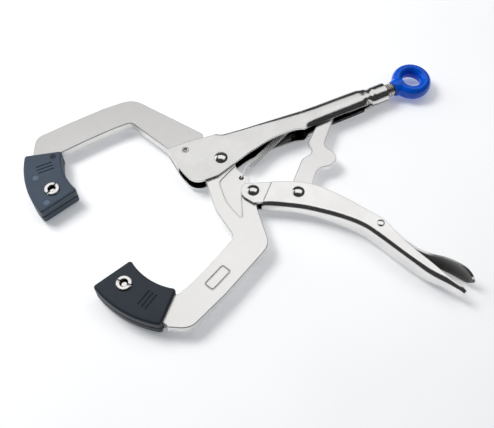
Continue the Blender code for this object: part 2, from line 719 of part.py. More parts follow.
def release_lever(material):
    line = [Vector(p) for p in through(LEVER_STATIONS, 3)]
    columns = []
    for i, p in enumerate(line):
        along = (line[min(i + 1, len(line) - 1)] - line[max(i - 1, 0)]).xy.normalized()
        columns.append((p, Vector((-along.y, along.x))))
    mesh = sheet_mesh("leaf", columns, lever_section)
    radius, half = LEVER_HUB
    mesh = join(mesh, rod_mesh("hub", LEVER_PIVOT, radius, -half, half, 24))
    mesh = cut(mesh, rod_mesh("hub_hole", LEVER_PIVOT, LEVER_RIVET[1] + GAP, -REACH, REACH, 24))
    return publish("release_lever", mesh, material, LEVER_PIVOT)


# ---------------------------------------------------------------- adjusting screw with its eye

def eye_ring(section, grow=0.0):
    """The flattened ring of the eye, with a section of (half width, half height)."""
    wide = section[0] + grow
    high = section[1] + grow
    profile = [(EYE_RADIUS + wide * math.cos(a), high * math.sin(a))
               for a in [math.radians(90 - 360 * i / 14) for i in range(14)]]
    mesh = turned_mesh("ring", profile, 32)
    mesh.transform(Matrix.Translation((EYE_CENTRE, 0, 0)))
    return mesh


def to_eye_place(mesh):
    mesh.transform(Matrix.Rotation(EYE_TILT, 4, "X"))
    mesh.transform(Matrix.Translation((0, SCREW_Y, 0)))
    return mesh


def along_x(profile, steps):
    """A turned piece along the X axis; the profile's heights are its X places."""
    mesh = turned_mesh("shaft", profile, steps)
    mesh.transform(Matrix.Rotation(math.radians(90), 4, "Y"))
    return mesh


def thread_profile():
    """Crest and root points from the eye back to the tip."""
    root = THREAD_RADIUS - THREAD_DEPTH
    turns = int((THREAD_END - 1.0 - THREAD_START) / THREAD_PITCH)
    profile = [(0.0, EYE_CENTRE - EYE_RADIUS), (root, EYE_CENTRE - EYE_RADIUS), (root, THREAD_END)]
    for i in range(turns):
        x = THREAD_END - THREAD_PITCH * i
        profile += [(THREAD_RADIUS, x - 0.5 * THREAD_PITCH), (root, x - THREAD_PITCH)]
    return profile + [(root - 0.4, THREAD_START), (0.0, THREAD_START)]


def adjusting_screw(material):
    mesh = along_x(thread_profile(), 16)
    mesh = join(mesh, eye_ring(STEEL_SECTION))
    return publish("adjusting_screw", to_eye_place(mesh), material, (THREAD_START, SCREW_Y))


def eye_coating(material):
    """The vinyl dip over the steel eye, open where the shank comes out of it."""
    neck = along_x([(0.0, EYE_CENTRE - EYE_RADIUS), (6.2, EYE_CENTRE - EYE_RADIUS),
                    (6.4, EYE_CENTRE - EYE_RADIUS - 3.0), (NECK_RADIUS, NECK_START + 1.2),
                    (NECK_RADIUS - 0.3, NECK_START), (0.0, NECK_START)], 24)
    mesh = join(eye_ring(COAT_SECTION), neck)
    shank_radius = THREAD_RADIUS - THREAD_DEPTH + GAP
    shank = along_x([(0.0, EYE_CENTRE - EYE_RADIUS + 0.5), (shank_radius, EYE_CENTRE - EYE_RADIUS + 0.5),
                     (shank_radius, NECK_START - 5), (0.0, NECK_START - 5)], 24)
    mesh = cut(mesh, join(eye_ring(STEEL_SECTION, GAP), shank))
    return publish("eye_coating", to_eye_place(mesh), material, (THREAD_START, SCREW_Y))


def screw_thrust_tip(material):
    profile = [(0.0, TIP_START + TIP_LENGTH), (4.2, TIP_START + TIP_LENGTH), (4.2, TIP_START + 1.2),
               (3.0, TIP_START), (0.0, TIP_START)]
    mesh = along_x(profile, 24)
    mesh.transform(Matrix.Translation((0, SCREW_Y, 0)))
    return publish("screw_thrust_tip", mesh, material, (TIP_START, SCREW_Y))


def return_spring(material):
    """Hook through the lower jaw's hole, close-wound coil, hook through the handle's tab."""
    start = Vector((COIL_START[0], COIL_START[1], 0.0))
    end = Vector((COIL_END[0], COIL_END[1], 0.0))
    axis = (end - start).normalized()
    side = Vector((-axis.y, axis.x, 0.0))
    up = Vector((0.0, 0.0, 1.0))
    over = JAW_HALF - RECESS + GAP + WIRE
    hole = Vector((SPRING_HOLE[0], SPRING_HOLE[1], 0.0))
    points = [hole - up * 2.0, hole + up * (over - 0.5), hole + axis * 0.6 + up * over]
    points += [start - axis * 4.5 + up * over, start - axis * 1.2 + up * (COIL_RADIUS + 0.4)]
    steps = 8
    for i in range(COIL_TURNS * steps + 1):
        a = math.tau * i / steps
        along = start.lerp(end, i / (COIL_TURNS * steps))
        points.append(along + (up * math.cos(a) + side * math.sin(a)) * COIL_RADIUS)
    tab = Vector((SPRING_TAB[0], SPRING_TAB[1] + 0.6, 0.0))
    points += [end + axis * 1.2 + up * 0.6, tab - Vector((1.6, 0, 0)), tab + Vector((1.6, 0, 0)),
               tab + Vector((2.6, 1.2, 0.0))]
    curve = bpy.data.curves.new("spring", "CURVE")
    curve.dimensions = "3D"
    curve.bevel_depth = WIRE
    curve.bevel_resolution = 0
    curve.use_fill_caps = True
    spline = curve.splines.new("POLY")
    spline.points.add(len(points) - 1)
    for point, place in zip(spline.points, points):
        point.co = (*place, 1.0)
    holder = to_object("spring_curve", curve)
    mesh = bpy.data.meshes.new_from_object(holder)
    bpy.data.objects.remove(holder, do_unlink=True)
    bm = bmesh.new()
    bm.from_mesh(mesh)
    bmesh.ops.remove_doubles(bm, verts=bm.verts, dist=0.0001)
    bmesh.ops.recalc_face_normals(bm, faces=bm.faces)
    bm.to_mesh(mesh)
    bm.free()
    return publish("return_spring", mesh, material)


# ---------------------------------------------------------------- assembly

clear_scene()
CUTTERS = cutter_collection()

upper_handle(make_material("upper_handle_nickel", NICKEL))
upper_jaw(make_material("upper_jaw_nickel", SATIN))
jaw_dowel(make_material("dowel_steel", NICKEL))
rivet("main_pivot_rivet", JAW_PIVOT, MAIN_RIVET, CHEEK_OUT, make_material("main_rivet_steel", NICKEL))
lower_jaw(make_material("lower_jaw_nickel", SATIN))
rivet("handle_pivot_rivet", HANDLE_PIVOT, SIDE_RIVET, EAR_OUT, make_material("handle_rivet_steel", NICKEL))
lower_handle(make_material("lower_handle_nickel", NICKEL))
rivet("link_pivot_rivet", LINK_PIVOT, SIDE_RIVET, FRONT_OUT, make_material("link_rivet_steel", NICKEL),
      HANDLE_PIVOT)
rivet("lever_pivot_rivet", LEVER_PIVOT, LEVER_RIVET, CHANNEL_OUT, make_material("lever_rivet_steel", NICKEL),
      HANDLE_PIVOT)
link_spacer("link_spacer_near", 1, make_material("spacer_near_steel", SATIN))
link_spacer("link_spacer_far", -1, make_material("spacer_far_steel", SATIN))
toggle_link(make_material("link_nickel", SATIN))
release_lever(make_material("lever_nickel", NICKEL))
screw_thrust_tip(make_material("tip_steel", SATIN))
adjusting_screw(make_material("screw_nickel", NICKEL))
eye_coating(make_material("blue_vinyl", VINYL))
return_spring(make_material("spring_steel", SPRING_STEEL))

for jaw_name, jaw_place, jaw_nut, slot, plastic in (
        ("upper", UPPER_PLACE, UPPER_NUT, 215.0, PLASTIC),
        ("lower", LOWER_PLACE, LOWER_NUT, -50.0, DARK_PLASTIC)):
    pad_half(jaw_name + "_pad_near_half", jaw_place, jaw_nut, 1,
             make_material(jaw_name + "_pad_near_plastic", plastic))
    pad_half(jaw_name + "_pad_far_half", jaw_place, jaw_nut, -1,
             make_material(jaw_name + "_pad_far_plastic", plastic))
    pad_nut(jaw_name + "_pad_nut", jaw_nut, slot, make_material(jaw_name + "_nut_steel", NICKEL))
    pad_screw(jaw_name + "_pad_screw", jaw_nut, make_material(jaw_name + "_screw_steel", NICKEL))
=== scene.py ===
"""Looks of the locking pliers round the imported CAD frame: finer pieces, finishes, floor, light, camera."""

import json
import math

import bmesh
import bpy
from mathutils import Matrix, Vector


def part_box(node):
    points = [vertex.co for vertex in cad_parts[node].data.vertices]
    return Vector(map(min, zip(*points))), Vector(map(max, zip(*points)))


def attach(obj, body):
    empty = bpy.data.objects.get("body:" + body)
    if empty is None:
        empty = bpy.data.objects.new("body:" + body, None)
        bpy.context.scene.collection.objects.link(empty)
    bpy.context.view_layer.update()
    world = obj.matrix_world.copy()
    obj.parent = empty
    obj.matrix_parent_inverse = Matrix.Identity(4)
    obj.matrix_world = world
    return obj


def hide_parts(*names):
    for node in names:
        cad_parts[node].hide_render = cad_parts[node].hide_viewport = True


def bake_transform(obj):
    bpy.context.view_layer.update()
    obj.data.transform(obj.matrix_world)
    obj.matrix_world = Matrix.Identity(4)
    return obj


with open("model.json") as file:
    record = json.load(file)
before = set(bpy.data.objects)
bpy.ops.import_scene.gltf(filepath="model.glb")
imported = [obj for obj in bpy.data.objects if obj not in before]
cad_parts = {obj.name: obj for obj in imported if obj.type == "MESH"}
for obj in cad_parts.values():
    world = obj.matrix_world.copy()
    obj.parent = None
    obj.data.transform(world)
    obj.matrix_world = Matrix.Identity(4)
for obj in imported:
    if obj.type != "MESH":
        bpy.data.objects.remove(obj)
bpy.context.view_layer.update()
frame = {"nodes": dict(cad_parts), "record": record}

MM = 0.001
RECORD = frame["record"]
JOINTS = {joint["name"]: joint for joint in RECORD["behaviour"]["joints"]}
BODY_OF = {node: body for body, nodes in RECORD["behaviour"]["bodies"].items() for node in nodes}
SLOT_OF = {part["node"]: part["material_slot"] for part in RECORD["subparts"]}
PIVOT = Vector(JOINTS["jaw_close"]["pos_m"])    # the main pivot, where the drawing frame has its origin


def place(x, y, z=0.0):
    """A point given in millimetres from the main pivot, as a point of the shared frame."""
    return PIVOT + Vector((x, y, z)) * MM


# ---------------------------------------------------------------- materials

class Nodes:
    """Short calls for building one node material."""

    def __init__(self, name):
        self.material = bpy.data.materials.new(name)
        self.material.use_nodes = True
        self.tree = self.material.node_tree
        self.shader = self.tree.nodes["Principled BSDF"]
        self.where = self.add("ShaderNodeTexCoord").outputs["Object"]

    def add(self, kind, **settings):
        node = self.tree.nodes.new(kind)
        for key, value in settings.items():
            setattr(node, key, value)
        return node

    def feed(self, socket, value):
        if hasattr(value, "is_output"):
            self.tree.links.new(value, socket)
        else:
            socket.default_value = value

    def noise(self, scale, detail=3.0, rough=0.5, stretch=None):
        """Noise with scale features in a metre; stretch squeezes the space along each axis."""
        where = self.where
        if stretch:
            mapping = self.add("ShaderNodeMapping")
            mapping.inputs["Scale"].default_value = stretch
            self.feed(mapping.inputs["Vector"], where)
            where = mapping.outputs["Vector"]
        node = self.add("ShaderNodeTexNoise")
        self.feed(node.inputs["Vector"], where)
        node.inputs["Scale"].default_value = scale
        node.inputs["Detail"].default_value = detail
        node.inputs["Roughness"].default_value = rough
        return node.outputs["Fac"]

    def spread(self, value, low, high, to_low, to_high):
        node = self.add("ShaderNodeMapRange")
        self.feed(node.inputs["Value"], value)
        for key, number in (("From Min", low), ("From Max", high), ("To Min", to_low), ("To Max", to_high)):
            node.inputs[key].default_value = number
        return node.outputs["Result"]

    def maths(self, operation, a, b=0.0):
        node = self.add("ShaderNodeMath", operation=operation)
        self.feed(node.inputs[0], a)
        self.feed(node.inputs[1], b)
        return node.outputs["Value"]

    def mix(self, factor, a, b):
        node = self.add("ShaderNodeMix", data_type="RGBA")
        self.feed(node.inputs["Factor"], factor)
        self.feed(node.inputs["A"], a)
        self.feed(node.inputs["B"], b)
        return node.outputs["Result"]

    def edges(self, radius):
        """0 on open surfaces, rising to 1 on edges sharper than the radius can round."""
        rounded = self.add("ShaderNodeBevel", samples=4)
        rounded.inputs["Radius"].default_value = radius
        true = self.add("ShaderNodeNewGeometry").outputs["Normal"]
        dot = self.add("ShaderNodeVectorMath", operation="DOT_PRODUCT")
        self.feed(dot.inputs[0], rounded.outputs["Normal"])
        self.feed(dot.inputs[1], true)
        return self.spread(dot.outputs["Value"], 0.995, 0.80, 0.0, 1.0), rounded.outputs["Normal"]

    def open_air(self, distance, own_walls=True):
        """1 on open surfaces, falling to 0 where walls stand close around: the piece's own, or any."""
        node = self.add("ShaderNodeAmbientOcclusion", samples=6, only_local=own_walls)
        node.inputs["Distance"].default_value = distance
        return self.spread(node.outputs["AO"], 0.42, 0.88, 0.0, 1.0)

    def near_point(self, centre, radius):
        """1 inside a round spot on the surface, 0 outside."""
        node = self.add("ShaderNodeVectorMath", operation="DISTANCE")
        self.feed(node.inputs[0], self.where)
        node.inputs[1].default_value = centre
        return self.spread(node.outputs["Value"], radius * 0.93, radius * 1.05, 1.0, 0.0)

    def bump(self, height, distance, strength=1.0, normal=None):
        node = self.add("ShaderNodeBump")
        node.inputs["Strength"].default_value = strength
        node.inputs["Distance"].default_value = distance
        self.feed(node.inputs["Height"], height)
        if normal is not None:
            self.feed(node.inputs["Normal"], normal)
        self.feed(self.shader.inputs["Normal"], node.outputs["Normal"])


PAINTED_GAP_SHADE = (0.035, 0.033, 0.030, 1.0)    # painted shade: plate deep in a gap, where little light comes
WORN_EDGE = (0.93, 0.91, 0.87, 1.0)
EDGE_WEAR = 0.5
GAP_REACH = 0.014       # a wall nearer than this, in metres, paints shade on the plate
# walls of any piece within this reach, in metres, give the release lever its painted reflection of the dark
# gap
PAINTED_REFLECTION_REACH = 0.030
ROLLED = (0.25, 1.0, 1.0)       # grain drawn out along the sheet


def toned(colour, tone):
    return tuple(tone * c for c in colour[:3]) + (1.0,)


def plated(name, pale, dark, gloss, grain, grain_height, stretch=None, reach=GAP_REACH, own_walls=True):
    """Nickel plate over steel: fine grain, cloudy gloss, worn edges, and painted shade where walls stand
    close.
    """
    n = Nodes(name)
    edge, normal = n.edges(0.0005)
    cloud = n.noise(55.0, 4.0, 0.55)
    fine = n.noise(grain, 4.0, 0.6, stretch)
    tone = n.mix(n.spread(cloud, 0.35, 0.7, 0.0, 1.0), dark, pale)
    tone = n.mix(n.maths("MULTIPLY", edge, EDGE_WEAR), tone, WORN_EDGE)
    # painted shade: the plate darkens towards the gap colour where walls stand close
    tone = n.mix(n.open_air(reach, own_walls), PAINTED_GAP_SHADE, tone)
    n.feed(n.shader.inputs["Base Color"], tone)
    patchy = n.maths("ADD", cloud, n.maths("MULTIPLY", fine, 0.6))
    n.feed(n.shader.inputs["Roughness"], n.spread(patchy, 0.45, 1.15, *gloss))
    n.shader.inputs["Metallic"].default_value = 1.0
    n.bump(fine, grain_height, 1.0, normal)
    return n.material


PAD_FACE = 6.5          # height of the pads' faces over the middle plane, in millimetres
MARK_RADIUS = 2.1       # the ejector pins' marks
PALE_MARKS = ((-117.8, 38.8), (-117.1, 16.9))
DARK_MARKS = ((-101.9, 50.4),)
PAD_GLOSS = 0.44
PAD_SHADE = (0.002, 0.002, 0.003, 1.0)


def moulded(name, colour, light, pale_marks=(), dark_marks=()):
    """Moulded satin plastic: spark-eroded grain, a painted highlight along its edges, its ejector pins'
    marks, and painted shade where its own walls stand close.
    """
    n = Nodes(name)
    edge, normal = n.edges(0.0009)
    cloud = n.noise(90.0, 3.0)
    fine = n.noise(2600.0, 2.0, 0.6)
    tone = n.mix(n.spread(cloud, 0.3, 0.75, 0.0, 0.6), colour, light)
    for mark in pale_marks:
        spot = n.near_point(place(*mark, PAD_FACE), MARK_RADIUS * MM)
        tone = n.mix(n.maths("MULTIPLY", spot, 0.8), tone, toned(light, 1.9))
    for mark in dark_marks:
        tone = n.mix(n.near_point(place(*mark, PAD_FACE), MARK_RADIUS * MM), tone, toned(colour, 0.35))
    # painted highlight: paler rims along the pad's edges
    tone = n.mix(n.maths("MULTIPLY", edge, 0.45), tone, toned(light, 1.7))
    # painted shade where the pad's own walls stand close
    tone = n.mix(n.open_air(0.004), PAD_SHADE, tone)
    n.feed(n.shader.inputs["Base Color"], tone)
    n.feed(n.shader.inputs["Roughness"], n.spread(fine, 0.3, 0.7, PAD_GLOSS - 0.06, PAD_GLOSS + 0.08))
    n.shader.inputs["Specular IOR Level"].default_value = 0.42
    n.bump(fine, 0.00003, 0.6, normal)
    return n.material


VINYL_DEEP = (0.0, 0.075, 0.56, 1.0)
VINYL_PALE = (0.0, 0.105, 0.72, 1.0)


def dipped(name):
    """Glossy vinyl dip: deep blue, faint flow waves and a few specks."""
    n = Nodes(name)
    flow = n.noise(120.0, 2.0, 0.45)
    speck = n.noise(2400.0, 1.0)
    n.feed(n.shader.inputs["Base Color"], n.mix(n.spread(flow, 0.3, 0.7, 0.0, 1.0), VINYL_DEEP, VINYL_PALE))
    n.feed(n.shader.inputs["Roughness"], n.spread(n.maths("ADD", flow, speck), 0.6, 1.4, 0.14, 0.26))
    n.shader.inputs["Specular IOR Level"].default_value = 0.22
    n.shader.inputs["Coat Weight"].default_value = 0.2
    n.shader.inputs["Coat Roughness"].default_value = 0.08
    n.bump(flow, 0.00018, 0.6)
    return n.material


def spring_wire(name):
    """Drawn and plated spring wire, streaked by its die, with painted shade inside the coil."""
    n = Nodes(name)
    draw = n.noise(1500.0, 3.0, 0.6)
    wire = n.mix(draw, (0.86, 0.85, 0.83, 1.0), (0.99, 0.98, 0.96, 1.0))
    # painted shade on the wire's inward faces inside the coil
    outside = n.spread(n.open_air(0.0025), 0.32, 0.6, 0.0, 1.0)
    n.feed(n.shader.inputs["Base Color"], n.mix(outside, PAINTED_GAP_SHADE, wire))
    n.feed(n.shader.inputs["Roughness"], n.spread(draw, 0.3, 0.7, 0.38, 0.52))
    n.shader.inputs["Metallic"].default_value = 0.15
    n.bump(draw, 0.00002, 0.5)
    return n.material


SCREW_AXIS = Vector(JOINTS["screw_turn"]["pos_m"])
THREAD_ROOT = 4.3       # radii of the adjusting screw's thread, in millimetres
THREAD_CREST = 5.0
CREST_NICKEL = (0.80, 0.78, 0.73, 1.0)
GREASE = (0.20, 0.13, 0.07, 1.0)


def threaded(name):
    """Nickel on the thread's crests, with brown grease and dust down in its grooves."""
    n = Nodes(name)
    split = n.add("ShaderNodeSeparateXYZ")
    n.feed(split.inputs[0], n.where)
    y = n.maths("SUBTRACT", split.outputs["Y"], SCREW_AXIS.y)
    z = n.maths("SUBTRACT", split.outputs["Z"], SCREW_AXIS.z)
    radius = n.maths("SQRT", n.maths("ADD", n.maths("MULTIPLY", y, y), n.maths("MULTIPLY", z, z)))
    groove = n.spread(radius, THREAD_ROOT * MM, THREAD_CREST * MM, 1.0, 0.0)
    patch = n.spread(n.noise(700.0, 3.0), 0.35, 0.65, 0.45, 1.0)
    dirt = n.maths("MULTIPLY", groove, patch)
    n.feed(n.shader.inputs["Base Color"], n.mix(dirt, CREST_NICKEL, GREASE))
    n.feed(n.shader.inputs["Roughness"], n.spread(dirt, 0.0, 1.0, 0.20, 0.55))
    n.shader.inputs["Metallic"].default_value = 1.0
    n.bump(n.noise(1800.0), 0.00002, 0.5)
    return n.material


SATIN_PALE = (0.985, 0.975, 0.965, 1.0)
SATIN_DARK = (0.90, 0.89, 0.875, 1.0)
SATIN_GLOSS = (0.30, 0.44)
BRIGHT_PALE = (0.88, 0.872, 0.86, 1.0)
BRIGHT_DARK = (0.78, 0.772, 0.76, 1.0)
BRIGHT_GLOSS = (0.13, 0.25)
POLISHED_GLOSS = (0.09, 0.20)
UPPER_JAW_PAINTED_SHADE = 0.84       # painted shade: these two are the same nickel toned darker, down to how grey they look
UPPER_HANDLE_PAINTED_SHADE = 0.86


# a tone below 1 makes a darker copy of the finish: painted shade
def satin(name, tone=1.0):
    return plated(name, toned(SATIN_PALE, tone), toned(SATIN_DARK, tone), SATIN_GLOSS, 1500.0, 0.00005)


def bright(name, tone=1.0):
    return plated(name, toned(BRIGHT_PALE, tone), toned(BRIGHT_DARK, tone), BRIGHT_GLOSS,
                  1100.0, 0.000018, ROLLED)


def bright_with_painted_reflection(name):
    """As bright, for a leaf that lies close to another piece, with a painted reflection of the dark gap
    between them.
    """
    return plated(name, BRIGHT_PALE, BRIGHT_DARK, BRIGHT_GLOSS, 1100.0, 0.000018, ROLLED,
                  reach=PAINTED_REFLECTION_REACH, own_walls=False)


def polished(name):
    return plated(name, BRIGHT_PALE, BRIGHT_DARK, POLISHED_GLOSS, 1600.0, 0.00001)


UPPER_PAD_DEEP = (0.050, 0.070, 0.100, 1.0)
UPPER_PAD_PALE = (0.062, 0.088, 0.124, 1.0)
LOWER_PAD_DEEP = (0.018, 0.025, 0.036, 1.0)
LOWER_PAD_PALE = (0.024, 0.033, 0.047, 1.0)


def look_of(slot_name):
    """The finish of one material slot."""
    name = slot_name + "_look"
    if slot_name == "upper_jaw_nickel":
        return satin(name, UPPER_JAW_PAINTED_SHADE)
    if slot_name in ("lower_jaw_nickel", "link_nickel"):
        return satin(name)
    if slot_name == "lever_nickel":
        return bright_with_painted_reflection(name)
    if slot_name == "upper_handle_nickel":
        return bright(name, UPPER_HANDLE_PAINTED_SHADE)
    if slot_name == "lower_handle_nickel":
        return bright(name)
    if slot_name.startswith("upper_pad") and slot_name.endswith("plastic"):
        return moulded(name, UPPER_PAD_DEEP, UPPER_PAD_PALE, PALE_MARKS, DARK_MARKS)
    if slot_name.startswith("lower_pad") and slot_name.endswith("plastic"):
        return moulded(name, LOWER_PAD_DEEP, LOWER_PAD_PALE)
    if slot_name == "blue_vinyl":
        return dipped(name)
    if slot_name == "spring_steel":
        return spring_wire(name)
    if slot_name == "screw_nickel":
        return threaded(name)
    return polished(name)


MATERIALS = {slot_name: look_of(slot_name) for slot_name in dict.fromkeys(SLOT_OF.values())}


# ---------------------------------------------------------------- pieces

def finish_piece(name, mesh, node, sharp=32.0, rides=True):
    """Puts a finer piece in the place of its CAD node, in the node's finish and on its body."""
    mesh.materials.clear()
    mesh.materials.append(MATERIALS[SLOT_OF[node]])
    mesh.shade_smooth()
    mesh.set_sharp_from_angle(angle=math.radians(sharp))
    obj = bpy.data.objects.new(name, mesh)
    bpy.context.scene.collection.objects.link(obj)
    if rides:
        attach(obj, BODY_OF[node])
        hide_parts(node)
    return obj


def break_edges(obj, width, sharper_than=50.0, segments=3):
    """Rounds a piece's sharp rims by a width in millimetres."""
    bevel = obj.modifiers.new("rim", "BEVEL")
    bevel.width = width * MM
    bevel.segments = segments
    bevel.limit_method = "ANGLE"
    bevel.angle_limit = math.radians(sharper_than)


WELD = 0.000002         # split points of a CAD mesh closer than this are one
NEARLY_FLAT = 0.6       # degrees between facets that are really one face


def welded_copy(node):
    """The CAD node's own surface with its split points joined and its flat faces made whole."""
    mesh = frame["nodes"][node].data.copy()
    for stored in ("custom_normal", "sharp_edge", "sharp_face"):
        if stored in mesh.attributes:
            mesh.attributes.remove(mesh.attributes[stored])
    bm = bmesh.new()
    bm.from_mesh(mesh)
    bmesh.ops.remove_doubles(bm, verts=bm.verts, dist=WELD)
    bmesh.ops.dissolve_limit(bm, angle_limit=math.radians(NEARLY_FLAT), verts=bm.verts, edges=bm.edges)
    bm.to_mesh(mesh)
    bm.free()
    return mesh


def refine(node, rim=0.0):
    """A CAD node shown with true smooth shading and, with rim, its sharp edges broken."""
    obj = finish_piece(node + "_surface", welded_copy(node), node)
    if rim:
        break_edges(obj, rim, 30.0, segments=2)


# Small tools for pieces drawn in millimetres from the main pivot

def smooth(low, high, value):
    t = min(1.0, max(0.0, (value - low) / (high - low)))
    return t * t * (3 - 2 * t)


def arc(centre, radius, start_deg, end_deg, steps=24):
    """Points on a circle, in order from the first angle to the last."""
    points = []
    for i in range(steps + 1):
        a = math.radians(start_deg + (end_deg - start_deg) * i / steps)
        points.append((centre[0] + radius * math.cos(a), centre[1] + radius * math.sin(a)))
    return points


def disc(centre, radius, sides=36):
    """A circle as a closed outline."""
    return arc(centre, radius, 0, 360 - 360 / sides, sides - 1)


def rounded(*corners):
    """Turns each (x, y, radius) corner into an arc; an open stretch starts and ends with plain points."""
    points = []
    for i, corner in enumerate(corners):
        here = Vector(corner[:2])
        if len(corner) == 2:
            points.append(tuple(here))
            continue
        before = (Vector(corners[i - 1][:2]) - here).normalized()
        after = (Vector(corners[(i + 1) % len(corners)][:2]) - here).normalized()
        half = before.angle(after) / 2
        centre = here + (before + after).normalized() * (corner[2] / math.sin(half))
        reach = corner[2] / math.tan(half)
        first = here + before * reach - centre
        last = here + after * reach - centre
        start = math.atan2(first.y, first.x)
        sweep = math.remainder(math.atan2(last.y, last.x) - start, math.tau)
        steps = max(3, math.ceil(abs(sweep) / math.radians(5)))
        for k in range(steps + 1):
            a = start + sweep * k / steps
            points.append((centre.x + corner[2] * math.cos(a), centre.y + corner[2] * math.sin(a)))
    return points


def through(points, steps):
    """A smooth line through given points (Catmull-Rom), steps pieces between two points."""
    knots = [Vector(p) for p in points]
    knots = [2 * knots[0] - knots[1]] + knots + [2 * knots[-1] - knots[-2]]
    line = []
    for a, b, c, d in zip(knots, knots[1:], knots[2:], knots[3:]):
        for k in range(steps):
            t = k / steps
            line.append(0.5 * (2 * b + (c - a) * t + (2 * a - 5 * b + 4 * c - d) * t * t
                               + (3 * b - a - 3 * c + d) * t * t * t))
    line.append(knots[-2])
    return line


def grid_mesh(name, rows, around=False):
    """A surface through rows of points in drawing millimetres; around closes each row to a ring."""
    bm = bmesh.new()
    verts = [[bm.verts.new(place(*p)) for p in row] for row in rows]
    count = len(rows[0])
    for upper, lower in zip(verts, verts[1:]):
        for j in range(count if around else count - 1):
            k = (j + 1) % count
            bm.faces.new((upper[j], upper[k], lower[k], lower[j]))
    if around:
        bm.faces.new(verts[0][::-1])
        bm.faces.new(verts[-1])
        bmesh.ops.recalc_face_normals(bm, faces=bm.faces)
    mesh = bpy.data.meshes.new(name)
    bm.to_mesh(mesh)
    bm.free()
    return mesh


def turned(name, profile, centre, steps=64, along_x=False):
    """A (radius, height) profile turned about Z at centre, or about the X axis there."""
    rows = []
    for radius, height in profile:
        row = []
        for j in range(steps):
            a = math.tau * j / steps
            u = radius * math.cos(a)
            v = radius * math.sin(a)
            row.append((centre[0] + height, centre[1] + u, v) if along_x
                       else (centre[0] + u, centre[1] + v, height))
        rows.append(row)
    return grid_mesh(name, rows, around=True)


def prism(name, outline, low, high):
    """A closed outline given a thickness from low to high."""
    return grid_mesh(name, [[(x, y, z) for x, y in outline] for z in (low, high)], around=True)


def right_through(name, outline):
    """A prism that reaches past the pliers on both sides."""
    return prism(name, outline, -THROUGH, THROUGH)


def round_hole(centre, radius, sides=36):
    return right_through("hole", disc(centre, radius, sides))


def applied(obj):
    """The object's mesh with its modifiers made final; the object itself goes."""
    graph = bpy.context.evaluated_depsgraph_get()
    mesh = bpy.data.meshes.new_from_object(obj.evaluated_get(graph))
    bpy.data.objects.remove(obj, do_unlink=True)
    return mesh


def worked(mesh, tools, operation="DIFFERENCE"):
    """The mesh cut by, joined with or kept inside each tool mesh."""
    holder = bpy.data.objects.new("working", mesh)
    bpy.context.scene.collection.objects.link(holder)
    helpers = []
    for tool in tools:
        helper = bpy.data.objects.new("tool", tool)
        bpy.context.scene.collection.objects.link(helper)
        boolean = holder.modifiers.new("boolean", "BOOLEAN")
        boolean.operation = operation
        boolean.solver = "EXACT"
        boolean.object = helper
        helpers.append(helper)
    result = applied(holder)
    for helper in helpers:
        bpy.data.objects.remove(helper, do_unlink=True)
    return result


def thickened(mesh, thickness):
    """A sheet whose rows gave its outer face, thickened inwards."""
    mesh.flip_normals()
    holder = bpy.data.objects.new("sheet", mesh)
    bpy.context.scene.collection.objects.link(holder)
    solid = holder.modifiers.new("thickness", "SOLIDIFY")
    solid.thickness = thickness * MM
    solid.offset = -1.0
    solid.use_even_offset = True
    return applied(holder)


def in_drawing(joint):
    """A joint's place in drawing millimetres."""
    p = (Vector(JOINTS[joint]["pos_m"]) - PIVOT) / MM
    return (p.x, p.y)


# Sizes in millimetres; those named OUT are half widths, from the middle plane to a sheet's outer face.
JAW_PIVOT = (0.0, 0.0)
HANDLE_PIVOT = in_drawing("handle_close")
LINK_PIVOT = in_drawing("link_swing")
LEVER_PIVOT = in_drawing("release_press")
SCREW_Y = in_drawing("screw_turn")[1]
THROUGH = 12.0
SHEET = 1.5
JAW_HALF = 3.25         # half the jaws' thickness
GAP = 0.25              # air between pieces that are put together
CHEEK_OUT = 5.0
GRIP_OUT = 7.5
EAR_OUT = 5.0
FRONT_OUT = 5.4
CHANNEL_OUT = 7.1
TAIL_OUT = 4.7
PIVOT_HOLE = 3.65       # radii of the holes for the rivets and the dowel
RIVET_HOLE = 3.15
LEVER_HOLE = 1.95
DOWEL_HOLE = 2.35
HANDLE_RIM = 0.5        # rounding of the handles' rims


# ---------------------------------------------------------------- rivets, nuts and screws

RIVET_SEAT = 0.2        # how far a head's underside stands off its sheet
RIM_HEIGHT = 0.22       # where the dome starts, above the rolled rim
DOME_FOOT = 0.985       # the dome's radius there, as a part of the head's


def domed_rivet(node, centre, head, shank, height, sheet_out):
    """A riveted head: domed crown, a small rolled rim, and the shank through the sheets."""
    face = sheet_out + RIVET_SEAT
    top = [(0.001, face + height)]
    for i in range(1, 13):
        t = i / 12
        top.append((head * DOME_FOOT * t, face + RIM_HEIGHT + (height - RIM_HEIGHT) * (1 - t * t)))
    top += [(head, face + 0.16), (head, face + 0.05), (head - 0.06, face), (shank, face)]
    profile = top + [(r, -z) for r, z in reversed(top)]
    finish_piece(node + "_turned", turned(node + "_turned", profile, centre), node, sharp=50.0)


domed_rivet("main_pivot_rivet", JAW_PIVOT, 4.5, 3.4, 1.8, CHEEK_OUT)
domed_rivet("handle_pivot_rivet", HANDLE_PIVOT, 4.1, 2.9, 1.6, EAR_OUT)
domed_rivet("link_pivot_rivet", LINK_PIVOT, 4.1, 2.9, 1.6, FRONT_OUT)
domed_rivet("lever_pivot_rivet", LEVER_PIVOT, 2.4, 1.7, 0.7, CHANNEL_OUT)


# ---------------------------------------------------------------- upper handle

BARREL_CURL = 87.0      # degrees that each side is rolled in at the barrel
BARREL_STRETCH = 0.3    # half the straight side between the barrel's upper and lower arcs


def tube_station(radius):
    """The station of a near-closed tube, from its half width on."""
    return (radius, SCREW_Y + BARREL_STRETCH + radius, radius, SCREW_Y - BARREL_STRETCH,
            radius * math.radians(BARREL_CURL), BARREL_CURL)


